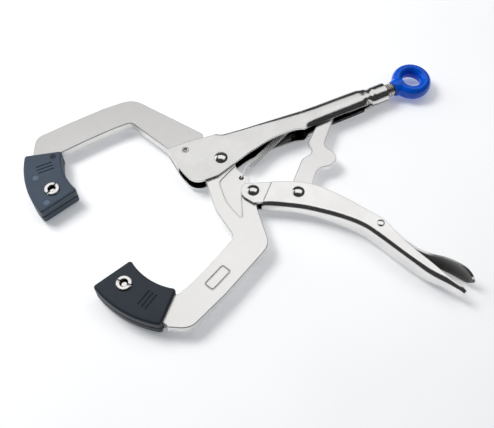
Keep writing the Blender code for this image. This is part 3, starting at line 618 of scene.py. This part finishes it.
# Stations along the grip: x, half width, top, fold radius, where the sides start to curl,
# the curl's length, and its angle in degrees.
GRIP_STATIONS = (
    (-34.0, CHEEK_OUT, 27.0, 2.5, -4.0, 12.0, 0.0),
    (-3.0, CHEEK_OUT, 27.0, 2.5, -4.0, 12.0, 0.0),
    (9.0, CHEEK_OUT, 19.1, 2.5, -4.0, 10.0, 0.0),
    (15.0, CHEEK_OUT, 18.3, 2.6, -2.0, 9.0, 0.0),
    (25.0, 5.7, 16.8, 3.0, 1.0, 9.0, 0.0),
    (35.0, 7.0, 15.7, 4.0, 2.6, 9.0, 0.0),
    (45.0, GRIP_OUT, 15.2, 5.2, 3.0, 8.6, 0.0),
    (60.0, GRIP_OUT, 14.6, 6.3, 3.0, 8.4, 0.0),
    (64.0, GRIP_OUT, 14.3, 6.5, 3.2, 7.8, 4.0),
    (69.0, GRIP_OUT, 14.0, 6.7, 3.4, 7.7, 54.0),
    (80.0, GRIP_OUT, 13.7, 6.9, 3.3, 7.7, 58.0),
    (100.0, GRIP_OUT, 13.5, 7.0, 3.2, 7.7, 58.0),
    (112.0, GRIP_OUT, 13.2, 7.0, 3.3, 7.9, 60.0),
    (117.5, 7.1, 12.2, 6.8, 3.6, 8.8, 72.0),
    (120.5, *tube_station(6.75)),
    (122.0, *tube_station(6.75)),
    (123.6, *tube_station(7.1)),
    (133.5, *tube_station(7.1)),
)
GRIP_START = GRIP_STATIONS[0][0]
FINE_FROM = 107.0       # the sheet is drawn in finer steps from here to the barrel's end
BARREL_END = GRIP_STATIONS[-1][0]
COARSE_STEP = 1.5
FINE_STEP = 0.75
SHORT_SPAN = 6.0        # stations nearer than this are joined by a soft step
SPRING_TAB = (60.5, 7.6)
TAB_HALF = 0.8
TAB_BOTTOM = 5.7
TAB_TOP = 14.0


def grip_station(x):
    """The section's sizes at x, eased between the stations on each side."""
    for first, last in zip(GRIP_STATIONS, GRIP_STATIONS[1:]):
        if x <= last[0]:
            t = max(0.0, (x - first[0]) / (last[0] - first[0]))
            if last[0] - first[0] < SHORT_SPAN:
                t = smooth(0.0, 1.0, t)
            return [a + (b - a) * t for a, b in zip(first[1:], last[1:])]
    return list(GRIP_STATIONS[-1][1:])


def grip_row(x):
    """The outer face at x, from one lower edge over the fold to the other."""
    half, top, fold, curl_y, length, angle = grip_station(x)
    fold = min(fold, half)
    points = [(top, 0.0)]
    for i in range(13):
        a = math.radians(90.0 * i / 12)
        points.append((top - fold + fold * math.cos(a), half - fold + fold * math.sin(a)))
    for i in range(1, 5):
        points.append((top - fold + (curl_y - top + fold) * i / 4, half))
    turn = math.radians(max(angle, 0.01))
    radius = length / turn
    for i in range(1, 11):
        a = turn * i / 10
        points.append((curl_y - radius * math.sin(a), half - radius * (1 - math.cos(a))))
    return [(x, y, z) for y, z in reversed(points)] + [(x, y, -z) for y, z in points[1:]]


def upper_handle():
    """The folded channel: cheeks trimmed, barrel notched, and the tab that the spring hooks in."""
    coarse = round((FINE_FROM - GRIP_START) / COARSE_STEP)
    fine = int((BARREL_END - FINE_FROM) / FINE_STEP)
    columns = [GRIP_START + COARSE_STEP * i for i in range(coarse)]
    columns += [FINE_FROM + FINE_STEP * i for i in range(fine)] + [BARREL_END]
    mesh = thickened(grid_mesh("grip", [grip_row(x) for x in columns]), SHEET)
    side = rounded((-29.6, 23.3), (-28.6, 3.0, 40.0), (-25.0, -11.5, 9.0), (-8.0, -12.2, 8.0),
                   (18.0, -4.6, 40.0), (40.0, -1.5, 60.0), (62.0, -2.6, 20.0), (70.0, -12.0),
                   (150.0, -12.0), (150.0, 30.0), (14.0, 30.0), (9.0, 19.6), (-1.0, 20.8), (-12.0, 22.4))
    mesh = worked(mesh, [right_through("side", side)], "INTERSECT")
    tab_x = SPRING_TAB[0]
    tab = [(tab_x - TAB_HALF, TAB_BOTTOM), (tab_x + TAB_HALF, TAB_BOTTOM),
           (tab_x + TAB_HALF, TAB_TOP), (tab_x - TAB_HALF, TAB_TOP)]
    mesh = worked(mesh, [prism("tab", tab, -2.5, 2.5)], "UNION")
    tab_hole = turned("tab_hole", [(0.001, -3.0), (1.0, -3.0), (1.0, 3.0), (0.001, 3.0)], SPRING_TAB,
                      steps=24, along_x=True)
    notch = rounded((111.0, -12), (113.6, -2.4, 2.0), (116.8, -0.6, 2.0), (119.9, -2.4, 1.5), (120.4, -12))
    low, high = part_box("jaw_dowel")
    dowel = ((low + high) / 2 - PIVOT) / MM
    cutters = [right_through("notch", notch), round_hole(JAW_PIVOT, PIVOT_HOLE),
               round_hole((dowel.x, dowel.y), DOWEL_HOLE), tab_hole]
    obj = finish_piece("upper_handle_sheet", worked(mesh, cutters), "upper_handle")
    break_edges(obj, HANDLE_RIM)


upper_handle()


# ---------------------------------------------------------------- lower handle

# Pairs of points along the lower handle: its free inner edge, and the outer face of its back.
CHANNEL_PAIRS = (
    ((-3.9, -22.3), (-9.6, -38.9)),
    ((7.1, -27.0), (1.6, -43.9)),
    ((20.7, -32.8), (11.6, -48.5)),
    ((32.7, -38.4), (20.5, -53.9)),
    ((43.7, -46.0), (31.3, -61.5)),
    ((52.5, -56.4), (42.4, -72.0)),
    ((59.7, -68.5), (51.1, -81.8)),
    ((65.9, -81.2), (57.5, -91.0)),
    ((71.3, -91.8), (61.5, -100.0)),
    ((73.5, -103.7), (65.9, -111.9)),
    ((76.3, -116.7), (70.5, -124.2)),
    ((81.2, -131.4), (75.7, -136.3)),
    ((86.0, -145.4), (82.3, -146.6)),
    ((88.9, -152.2), (86.2, -153.2)),
    ((90.1, -155.8), (88.1, -156.5)),
)
CHANNEL_FOLD = 3.8          # outer radius of the fold along the handle
EAR_FOLD = 2.2              # the same at its front ears
FOLD_SPAN = (1.6, 11.6)     # x between which the one fold turns into the other
SWELL_SPAN = (55.0, 88.0)   # distances below the pivot over which the half width changes
TAIL_SPAN = (120.0, 160.0)
TIP_SPAN = (151.5, 158.0)
TIP_NARROWING = 1.6
JOGGLE = ((20.5, -33.9), (8.9, -44.6))      # the line where the sheet steps out from the ears
JOGGLE_STEP = (-0.2, 0.45)                  # distances from that line over which it steps
EAR_RADIUS = 7.7


def channel_half_width(p):
    """The sheet steps out behind the joggle line, swells to the grip and narrows to its rear end."""
    start = Vector(JOGGLE[0])
    along = (Vector(JOGGLE[1]) - start).normalized()
    away = (p - start).dot(Vector((-along.y, along.x)))
    body = FRONT_OUT + (CHANNEL_OUT - FRONT_OUT) * smooth(*SWELL_SPAN, -p.y)
    body += (TAIL_OUT - CHANNEL_OUT) * smooth(*TAIL_SPAN, -p.y) - TIP_NARROWING * smooth(*TIP_SPAN, -p.y)
    return EAR_OUT + (body - EAR_OUT) * smooth(*JOGGLE_STEP, away)


def channel_row(edge, back):
    """The outer face across the channel, from one free edge over the back to the other."""
    depth = (back - edge).length
    out = (back - edge) / depth
    radius = min(EAR_FOLD + (CHANNEL_FOLD - EAR_FOLD) * smooth(*FOLD_SPAN, back.x), 0.9 * depth)
    fold = back - out * radius
    near = []
    for i in range(33):
        p = edge.lerp(fold, i / 32)
        near.append((p.x, p.y, channel_half_width(p)))
    half = channel_half_width(fold)
    for i in range(1, 11):
        a = math.radians(9 * i)
        p = fold + out * radius * math.sin(a)
        near.append((p.x, p.y, half - radius * (1 - math.cos(a))))
    return [(x, y, -z) for x, y, z in near] + [(back.x, back.y, 0.0)] + near[::-1]


def lower_handle():
    """The folded channel with its rounded front ears and its rivet holes."""
    edges = through([pair[0] for pair in CHANNEL_PAIRS], 28)
    backs = through([pair[1] for pair in CHANNEL_PAIRS], 28)
    mesh = thickened(grid_mesh("channel", [channel_row(e, b) for e, b in zip(edges, backs)]), SHEET)
    around = arc(HANDLE_PIVOT, EAR_RADIUS, 100, 215, 30)
    around += [(3.4, -42.4), (8.6, -44.6), (2.0, -54.0), (50.0, -110.0), (70.0, -170.0),
               (110.0, -170.0), (110.0, -20.0), (20.0, -20.0)]
    mesh = worked(mesh, [right_through("around", around)], "INTERSECT")
    holes = [round_hole(HANDLE_PIVOT, RIVET_HOLE), round_hole(LINK_PIVOT, RIVET_HOLE),
             round_hole(LEVER_PIVOT, LEVER_HOLE)]
    obj = finish_piece("lower_handle_sheet", worked(mesh, holes), "lower_handle")
    break_edges(obj, HANDLE_RIM)


lower_handle()


# ---------------------------------------------------------------- release lever

# Stations along the release lever from inside the channel to its tip: x, y and half width.
LEVER_STATIONS = (
    (60.5, -88.2, 4.2), (64.0, -90.8, 4.8), (68.0, -94.2, 4.9), (71.8, -101.0, 4.9), (75.2, -109.6, 4.9),
    (79.3, -118.4, 5.1), (84.3, -125.6, 6.0), (89.6, -131.2, 7.0), (93.8, -136.6, 7.4),
    (97.2, -142.6, 7.3), (98.5, -146.6, 6.5), (99.2, -149.6, 4.7), (99.6, -151.3, 2.6), (99.8, -152.0, 0.9),
)
PADDLE_DISH = 1.1
DISH_SPAN = (112.0, 130.0)      # distances below the pivot over which the dish deepens
HUB_RADIUS = 3.1
HUB_HALF = 4.9
LEVER_RIM = 0.22


def release_lever():
    """A leaf with a dished paddle, welded to a hub on its rivet."""
    line = through(LEVER_STATIONS, 10)
    rows = []
    for i, p in enumerate(line):
        along = (line[min(i + 1, len(line) - 1)] - line[max(i - 1, 0)]).xy.normalized()
        away = Vector((-along.y, along.x))
        dish = PADDLE_DISH * smooth(*DISH_SPAN, -p.y)
        row = []
        for j in range(17):
            across = 1 - j / 8
            q = p.xy + away * (SHEET / 2 + dish * (0.6 - across * across))
            row.append((q.x, q.y, p.z * across))
        rows.append(row)
    mesh = thickened(grid_mesh("leaf", rows), SHEET)
    mesh = worked(mesh, [prism("hub", disc(LEVER_PIVOT, HUB_RADIUS, 48), -HUB_HALF, HUB_HALF)], "UNION")
    mesh = worked(mesh, [round_hole(LEVER_PIVOT, LEVER_HOLE)])
    obj = finish_piece("release_lever_sheet", mesh, "release_lever")
    break_edges(obj, LEVER_RIM)


release_lever()


# ---------------------------------------------------------------- pads

PAD_SEAM = 0.12
PAD_CORNER = 1.9
PAD_CORNER_REACH = 4.2      # points of a bow that are nearer to a corner give way to its arc
PAD_RIM = 1.6
UPPER_NUT = (-110.7, 25.1)
LOWER_NUT = (-93.2, -60.2)
UPPER_PAD_ANGLE = math.radians(88.3)
LOWER_PAD_ANGLE = math.radians(-60.4)
ARM_EDGE = 6.4
NUT_HOLE = 3.7
GROOVE_CENTRE = (18.6, -0.6)
GROOVE_PITCH = 2.7
GROOVE_LENGTH = 11.0
GROOVE_WIDTH = 1.1
GROOVE_DEPTH = 0.35
MARK_DEPTH = 0.12


def bowed(start, end, sagitta, steps):
    """Points after start up to end on an arc that bulges to the left of the way by sagitta."""
    a = Vector(start)
    b = Vector(end)
    chord = (b - a).length
    side = Vector((-(b - a).y, (b - a).x)) / chord
    radius = chord * chord / (8 * abs(sagitta)) + abs(sagitta) / 2
    centre = (a + b) / 2 + side * (sagitta - math.copysign(radius, sagitta))
    first = math.atan2(a.y - centre.y, a.x - centre.x)
    sweep = math.remainder(math.atan2(b.y - centre.y, b.x - centre.x) - first, math.tau)
    return [(centre.x + radius * math.cos(first + sweep * i / steps),
             centre.y + radius * math.sin(first + sweep * i / steps)) for i in range(1, steps + 1)]


def pad_frame(nut, angle, side):
    """Turns a pad's own (along, out) place into the drawing frame; side is +1 above, -1 below."""
    along = Vector((math.cos(angle), math.sin(angle)))
    out = Vector((-math.sin(angle), math.cos(angle))) * side

    def placed(points):
        moved = [tuple(Vector(nut) + along * p[0] + out * p[1]) for p in points]
        return moved if side > 0 else moved[::-1]
    return placed


def pad_outline():
    """The pad from the side, its four corners rounded."""
    corner_b = (28.2, -15.1)
    corner_c = (-7.0, -15.0)
    corner_d = (-14.8, 11.9)
    corner_a = (34.6, 9.3)
    corners = (corner_a, corner_b, corner_c, corner_d)
    inner = bowed(corner_b, corner_c, -4.0, 24)[:-1]
    outer = bowed(corner_d, corner_a, 4.6, 28)[:-1]
    points = []
    for point in [corner_b] + inner + [corner_c, corner_d] + outer + [corner_a]:
        if point in corners:
            points.append(point + (PAD_CORNER,))
        elif min((Vector(point) - Vector(c)).length for c in corners) > PAD_CORNER_REACH:
            points.append(point)
    return [Vector(p) for p in rounded(*points)]


def inset(points, amount):
    """The closed outline moved inwards by amount."""
    area = sum(a.x * b.y - b.x * a.y for a, b in zip(points, points[1:] + points[:1]))
    sign = 1 if area > 0 else -1
    moved = []
    for i, here in enumerate(points):
        before = (here - points[i - 1]).normalized()
        after = (points[(i + 1) % len(points)] - here).normalized()
        along = (before + after).normalized()
        moved.append(tuple(here + Vector((-along.y, along.x)) * sign * amount / max(0.5, along.dot(after))))
    return moved


def pad_profile():
    """(height, inset) from the seam, whose lip is eased, to the face, whose rim is rounded."""
    shoulder = PAD_FACE - PAD_RIM
    profile = [(PAD_SEAM, 0.75), (0.30, 0.42), (0.60, 0.18), (1.05, 0.05), (1.5, 0.03), (shoulder, 0.03)]
    for i in range(1, 8):
        a = math.radians(90 * i / 7)
        profile.append((shoulder + PAD_RIM * math.sin(a), PAD_RIM * (1 - math.cos(a))))
    return profile


def pocket_outline():
    """The jaw's end, which the pad closes round with a gap, and the mouth it comes in by."""
    points = [(36.3, ARM_EDGE + GAP), (22.0, 7.4 + GAP)] + arc((0.0, 0.0), 8.2 + GAP, 85, 270, 40)
    return points + [(13.0, -8.3 - GAP), (29.0, -12.4 - GAP), (50.0, -17.0), (50.0, 7.0)]


def turned_about(points, centre, angle):
    """Points round the origin, turned by angle and moved to centre."""
    c = math.cos(angle)
    s = math.sin(angle)
    return [(centre[0] + x * c - y * s, centre[1] + x * s + y * c) for x, y in points]


def finger_groove(centre, angle):
    """A cutter for one round-ended groove in a pad's face."""
    radius = GROOVE_WIDTH / 2
    half = GROOVE_LENGTH / 2 - radius
    ends = arc((half, 0.0), radius, -90, 90, 8) + arc((-half, 0.0), radius, 90, 270, 8)
    return prism("groove", turned_about(ends, centre, angle), PAD_FACE - GROOVE_DEPTH, PAD_FACE + 1.0)


def pad_half(node, nut, angle, above, side):
    """One moulded half: a rounded shell round the jaw's end, with ejector marks and finger grooves."""
    placed = pad_frame(nut, angle, above)
    outline = pad_outline()
    rows = [[(x, y, side * z) for x, y in placed(inset(outline, amount))] for z, amount in pad_profile()]
    mesh = grid_mesh("pad", rows, around=True)
    pocket_half = JAW_HALF + GAP
    tools = [prism("pocket", placed(pocket_outline()), -pocket_half, pocket_half),
             round_hole(nut, NUT_HOLE, sides=60)]
    if side > 0:
        for k in (-1, 0, 1):
            centre = placed([(GROOVE_CENTRE[0] + GROOVE_PITCH * k, GROOVE_CENTRE[1] * above)])[0]
            tools.append(finger_groove(centre, angle + math.radians(90)))
        if above > 0:
            for mark in PALE_MARKS + DARK_MARKS:
                tools.append(prism("mark", disc(mark, MARK_RADIUS), PAD_FACE - MARK_DEPTH, PAD_FACE + 1.0))
    finish_piece(node + "_moulding", worked(mesh, tools), node, sharp=35.0)


for pad_side, side_name in ((1, "near"), (-1, "far")):
    pad_half("upper_pad_" + side_name + "_half", UPPER_NUT, UPPER_PAD_ANGLE, 1, pad_side)
    pad_half("lower_pad_" + side_name + "_half", LOWER_NUT, LOWER_PAD_ANGLE, -1, pad_side)


# ---------------------------------------------------------------- stamped frame on the lower jaw

FRAME_CENTRE = (-40.4, -80.4)
FRAME_LENGTH = 17.4
FRAME_WIDTH = 7.3
FRAME_LINE = 0.85
FRAME_DEPTH = 0.4
FRAME_TURN = math.radians(23.8)
JAW_RIM = 0.3


def framed(length, width, radius):
    """A rounded rectangle lying on the lower jaw's flat."""
    x = length / 2
    y = width / 2
    corners = rounded((-x, -y, radius), (x, -y, radius), (x, y, radius), (-x, y, radius))
    return turned_about(corners, FRAME_CENTRE, FRAME_TURN)


def stamped_jaw():
    """The lower jaw with a plain stamped frame, its groove left open in the middle."""
    inner_length = FRAME_LENGTH - 2 * FRAME_LINE
    inner_width = FRAME_WIDTH - 2 * FRAME_LINE
    groove = prism("groove", framed(FRAME_LENGTH, FRAME_WIDTH, 1.7), JAW_HALF - FRAME_DEPTH, JAW_HALF + 1.0)
    island = prism("island", framed(inner_length, inner_width, 1.0), JAW_HALF - 1.0, JAW_HALF + 2.0)
    mesh = worked(welded_copy("lower_jaw"), [worked(groove, [island])])
    obj = finish_piece("lower_jaw_surface", mesh, "lower_jaw")
    break_edges(obj, JAW_RIM, 30.0)


stamped_jaw()


# ---------------------------------------------------------------- adjusting screw, its eye and the spring

THREAD_START = in_drawing("screw_turn")[0]
THREAD_END = 140.9
THREAD_PITCH = 1.5
STEPS_A_PITCH = 12
AROUND = 48
FADE_IN = 1.8           # lengths over which the thread starts and ends
FADE_OUT = 1.2
EYE_CENTRE = 157.5
EYE_RADIUS = 10.4
EYE_TILT = math.radians(3.0)
DIP_WIDE = 4.1          # the dipped ring's half widths, outwards and upwards
DIP_HIGH = 5.65
DIP_VOXEL = 0.00036     # metres


def adjusting_screw():
    """The shank with a true helical thread, faded out at both ends."""
    rows = []
    step = THREAD_PITCH / STEPS_A_PITCH
    count = int((THREAD_END - THREAD_START) / step)
    for i in range(count + 1):
        x = THREAD_START + step * i
        fade = smooth(0.0, FADE_IN, x - THREAD_START) * smooth(0.0, FADE_OUT, THREAD_END - x)
        row = []
        for j in range(AROUND):
            turn = j / AROUND
            phase = (x / THREAD_PITCH - turn) % 1.0
            crest = smooth(0.08, 0.42, phase) * (1 - smooth(0.58, 0.92, phase))
            radius = THREAD_ROOT + (THREAD_CREST - THREAD_ROOT) * crest * fade
            a = math.tau * turn
            row.append((x, SCREW_Y + radius * math.cos(a), radius * math.sin(a)))
        rows.append(row)
    rows.append([(EYE_CENTRE - EYE_RADIUS, y, z) for _, y, z in rows[-1]])
    mesh = grid_mesh("thread", rows, around=True)
    finish_piece("adjusting_screw_thread", mesh, "adjusting_screw", sharp=60.0)


def ring_mesh():
    """The dipped ring: an oval section run round the eye, which is tilted a little."""
    rows = []
    for i in range(96):
        turn = math.tau * i / 96
        row = []
        for j in range(32):
            a = math.tau * j / 32
            radius = EYE_RADIUS + DIP_WIDE * math.cos(a)
            height = DIP_HIGH * math.sin(a)
            y = radius * math.sin(turn)
            row.append((EYE_CENTRE + radius * math.cos(turn),
                        SCREW_Y + y * math.cos(EYE_TILT) - height * math.sin(EYE_TILT),
                        y * math.sin(EYE_TILT) + height * math.cos(EYE_TILT)))
        rows.append(row)
    rows.append(rows[0])
    mesh = grid_mesh("ring", [row + row[:1] for row in rows])
    bm = bmesh.new()
    bm.from_mesh(mesh)
    bmesh.ops.remove_doubles(bm, verts=bm.verts, dist=0.000001)
    bmesh.ops.recalc_face_normals(bm, faces=bm.faces)
    bm.to_mesh(mesh)
    bm.free()
    return mesh


def eye_coating():
    """The vinyl dip: one skin over ring and neck, drawn into a soft fillet where they meet."""
    root = EYE_CENTRE - EYE_RADIUS + 2.0
    profile = [(0.001, root), (6.3, root), (6.3, 144.6),
               (5.9, 142.4), (5.5, 141.5), (4.9, 141.25), (0.001, 141.25)]
    neck = turned("neck", profile, (0.0, SCREW_Y), along_x=True)
    holder = bpy.data.objects.new("dip", worked(ring_mesh(), [neck], "UNION"))
    bpy.context.scene.collection.objects.link(holder)
    remesh = holder.modifiers.new("skin", "REMESH")
    remesh.mode = "VOXEL"
    remesh.voxel_size = DIP_VOXEL
    relax = holder.modifiers.new("relax", "SMOOTH")
    relax.factor = 0.5
    relax.iterations = 10
    finish_piece("eye_coating_dip", applied(holder), "eye_coating", sharp=180.0)


SPRING_TURNS = 25
TURN_STEPS = 20
SPRING_WIRE = 0.42      # radius of the wire
COIL_RADIUS = 1.9
COIL_START = (16.5, -11.7)
COIL_END = (56.5, 5.9)
JAW_HOOK_HOLE = (5.55, -19.8)
RECESS = 0.6            # depth of the lower jaw's coined recess, over which the hook's wire lies


def spring_line():
    """Hook in the lower jaw's hole, coil, hook through the upper handle's tab."""
    start = Vector((*COIL_START, 0.0))
    end = Vector((*COIL_END, 0.0))
    hole = Vector((*JAW_HOOK_HOLE, 0.0))
    tab = Vector((*SPRING_TAB, 0.0))
    axis = (end - start).normalized()
    side = Vector((-axis.y, axis.x, 0.0))
    up = Vector((0.0, 0.0, 1.0))
    over = JAW_HALF - RECESS + GAP + SPRING_WIRE
    lead = through([hole - up * 2.0, hole + up * (over - 0.9), hole + axis * 0.8 + up * over,
                    start - axis * 4.5 + up * over, start - axis * 1.4 + up * (COIL_RADIUS + 0.35),
                    start + up * COIL_RADIUS], 6)
    coil = []
    count = SPRING_TURNS * TURN_STEPS
    for i in range(1, count + 1):
        a = math.tau * i / TURN_STEPS
        around = up * math.cos(a) + side * math.sin(a)
        coil.append(start.lerp(end, i / count) + around * COIL_RADIUS)
    tail = through([coil[-1], end + axis * 1.2 + up * 0.6, tab - Vector((1.6, 0.0, 0.0)),
                    tab + Vector((1.6, 0.0, 0.0)), tab + Vector((2.6, 1.2, 0.0))], 5)[1:]
    return lead + coil + tail, end, hole + axis * 2.0


def return_spring():
    """The drawn wire along the spring's line, between the lower jaw and the upper handle."""
    line, held_end, pulled_end = spring_line()
    curve = bpy.data.curves.new("spring", "CURVE")
    curve.dimensions = "3D"
    curve.bevel_depth = SPRING_WIRE * MM
    curve.bevel_resolution = 2
    curve.use_fill_caps = True
    spline = curve.splines.new("POLY")
    spline.points.add(len(line) - 1)
    for point, p in zip(spline.points, line):
        point.co = (*place(*p), 1.0)
    holder = bpy.data.objects.new("spring", curve)
    bpy.context.scene.collection.objects.link(holder)
    mesh = bpy.data.meshes.new_from_object(holder)
    bpy.data.objects.remove(holder, do_unlink=True)
    obj = finish_piece("return_spring_wire", mesh, "return_spring", sharp=60.0, rides=False)
    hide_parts("return_spring")
    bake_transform(obj)


adjusting_screw()
eye_coating()
return_spring()

# ---------------------------------------------------------------- pieces that keep their CAD surface

BUILT_HERE = ("main_pivot_rivet", "handle_pivot_rivet", "link_pivot_rivet", "lever_pivot_rivet",
              "upper_handle", "lower_handle", "release_lever", "lower_jaw",
              "adjusting_screw", "eye_coating", "return_spring",
              "upper_pad_near_half", "upper_pad_far_half", "lower_pad_near_half", "lower_pad_far_half")
RIMS = {"upper_jaw": 0.31, "toggle_link": 0.24}
for node_name in SLOT_OF:
    if node_name not in BUILT_HERE:
        refine(node_name, RIMS.get(node_name, 0.0))

# ---------------------------------------------------------------- floor, light, camera

CAMERA_TARGET = place(-4.75, -49.0, 6.25)
CAMERA_DISTANCE = 0.43995
CAMERA_ELEVATION = math.radians(57.9)
CAMERA_TURN = math.radians(26.5)
UP = Vector((0.0, 0.0, 1.0))
PAPER_DARK = (0.90, 0.90, 0.90, 1.0)
PAPER_PALE = (0.93, 0.93, 0.93, 1.0)
PAPER_GLOW = (0.90, 0.94, 1.0, 1.0)
SKY = (0.95, 0.97, 1.0, 1.0)


def add_floor():
    """Pale paper; a faint emission lifts it to the white of the photo's ground and keeps shadows pale."""
    n = Nodes("floor_paper")
    tone = n.spread(n.noise(9.0, 3.0), 0.3, 0.7, 0.0, 1.0)
    n.feed(n.shader.inputs["Base Color"], n.mix(tone, PAPER_DARK, PAPER_PALE))
    n.shader.inputs["Roughness"].default_value = 0.7
    n.shader.inputs["Emission Color"].default_value = PAPER_GLOW
    n.shader.inputs["Emission Strength"].default_value = 0.25
    bpy.ops.mesh.primitive_grid_add(x_subdivisions=8, y_subdivisions=8, size=6.0, location=(0, 0, 0))
    floor = bpy.context.object
    floor.name = "floor"
    floor.data.materials.append(n.material)


def add_light(name, location, size, power, mirrored=True):
    """A soft rectangle of light; one that isn't mirrored leaves no reflection of itself in the metal."""
    data = bpy.data.lights.new(name, "AREA")
    data.shape = "RECTANGLE"
    data.size, data.size_y = size
    data.energy = power
    obj = bpy.data.objects.new(name, data)
    bpy.context.scene.collection.objects.link(obj)
    obj.location = location
    obj.rotation_euler = (CAMERA_TARGET - location).to_track_quat("-Z", "Y").to_euler()
    obj.visible_glossy = mirrored


def add_world():
    world = bpy.data.worlds.new("studio")
    world.use_nodes = True
    background = world.node_tree.nodes["Background"]
    background.inputs["Color"].default_value = SKY
    background.inputs["Strength"].default_value = 0.045
    bpy.context.scene.world = world


def add_camera():
    """A 50 mm lens at the photo's angle."""
    away = Vector((math.sin(CAMERA_TURN), math.cos(CAMERA_TURN), 0.0))
    look = away * math.cos(CAMERA_ELEVATION) - UP * math.sin(CAMERA_ELEVATION)
    data = bpy.data.cameras.new("camera")
    data.lens = 50.0
    data.sensor_width = 36.0
    data.sensor_fit = "HORIZONTAL"
    data.clip_start = 0.01
    data.dof.use_dof = False
    obj = bpy.data.objects.new("camera", data)
    bpy.context.scene.collection.objects.link(obj)
    obj.location = CAMERA_TARGET - look * CAMERA_DISTANCE
    obj.rotation_euler = look.to_track_quat("-Z", "Y").to_euler()
    bpy.context.scene.camera = obj


def from_target(turn_deg, elevation_deg, distance):
    """A place seen from the tool: turned from straight away from the camera, and raised."""
    turn = CAMERA_TURN + math.radians(turn_deg)
    rise = math.radians(elevation_deg)
    ahead = Vector((math.sin(turn), math.cos(turn), 0.0))
    return CAMERA_TARGET + (ahead * math.cos(rise) + UP * math.sin(rise)) * distance


add_floor()
add_light("overhead_panel", from_target(8, 64, 1.3), (1.9, 1.15), 7.0)
add_light("left_key", from_target(-60, 52, 1.0), (0.42, 0.42), 6.4, mirrored=False)
add_light("left_strip", from_target(-66, 22, 1.2), (1.1, 0.5), 2.2)
add_light("right_fill", from_target(95, 40, 1.3), (0.5, 0.5), 1.2, mirrored=False)
add_world()
bpy.context.scene.view_settings.view_transform = "Standard"
add_camera()
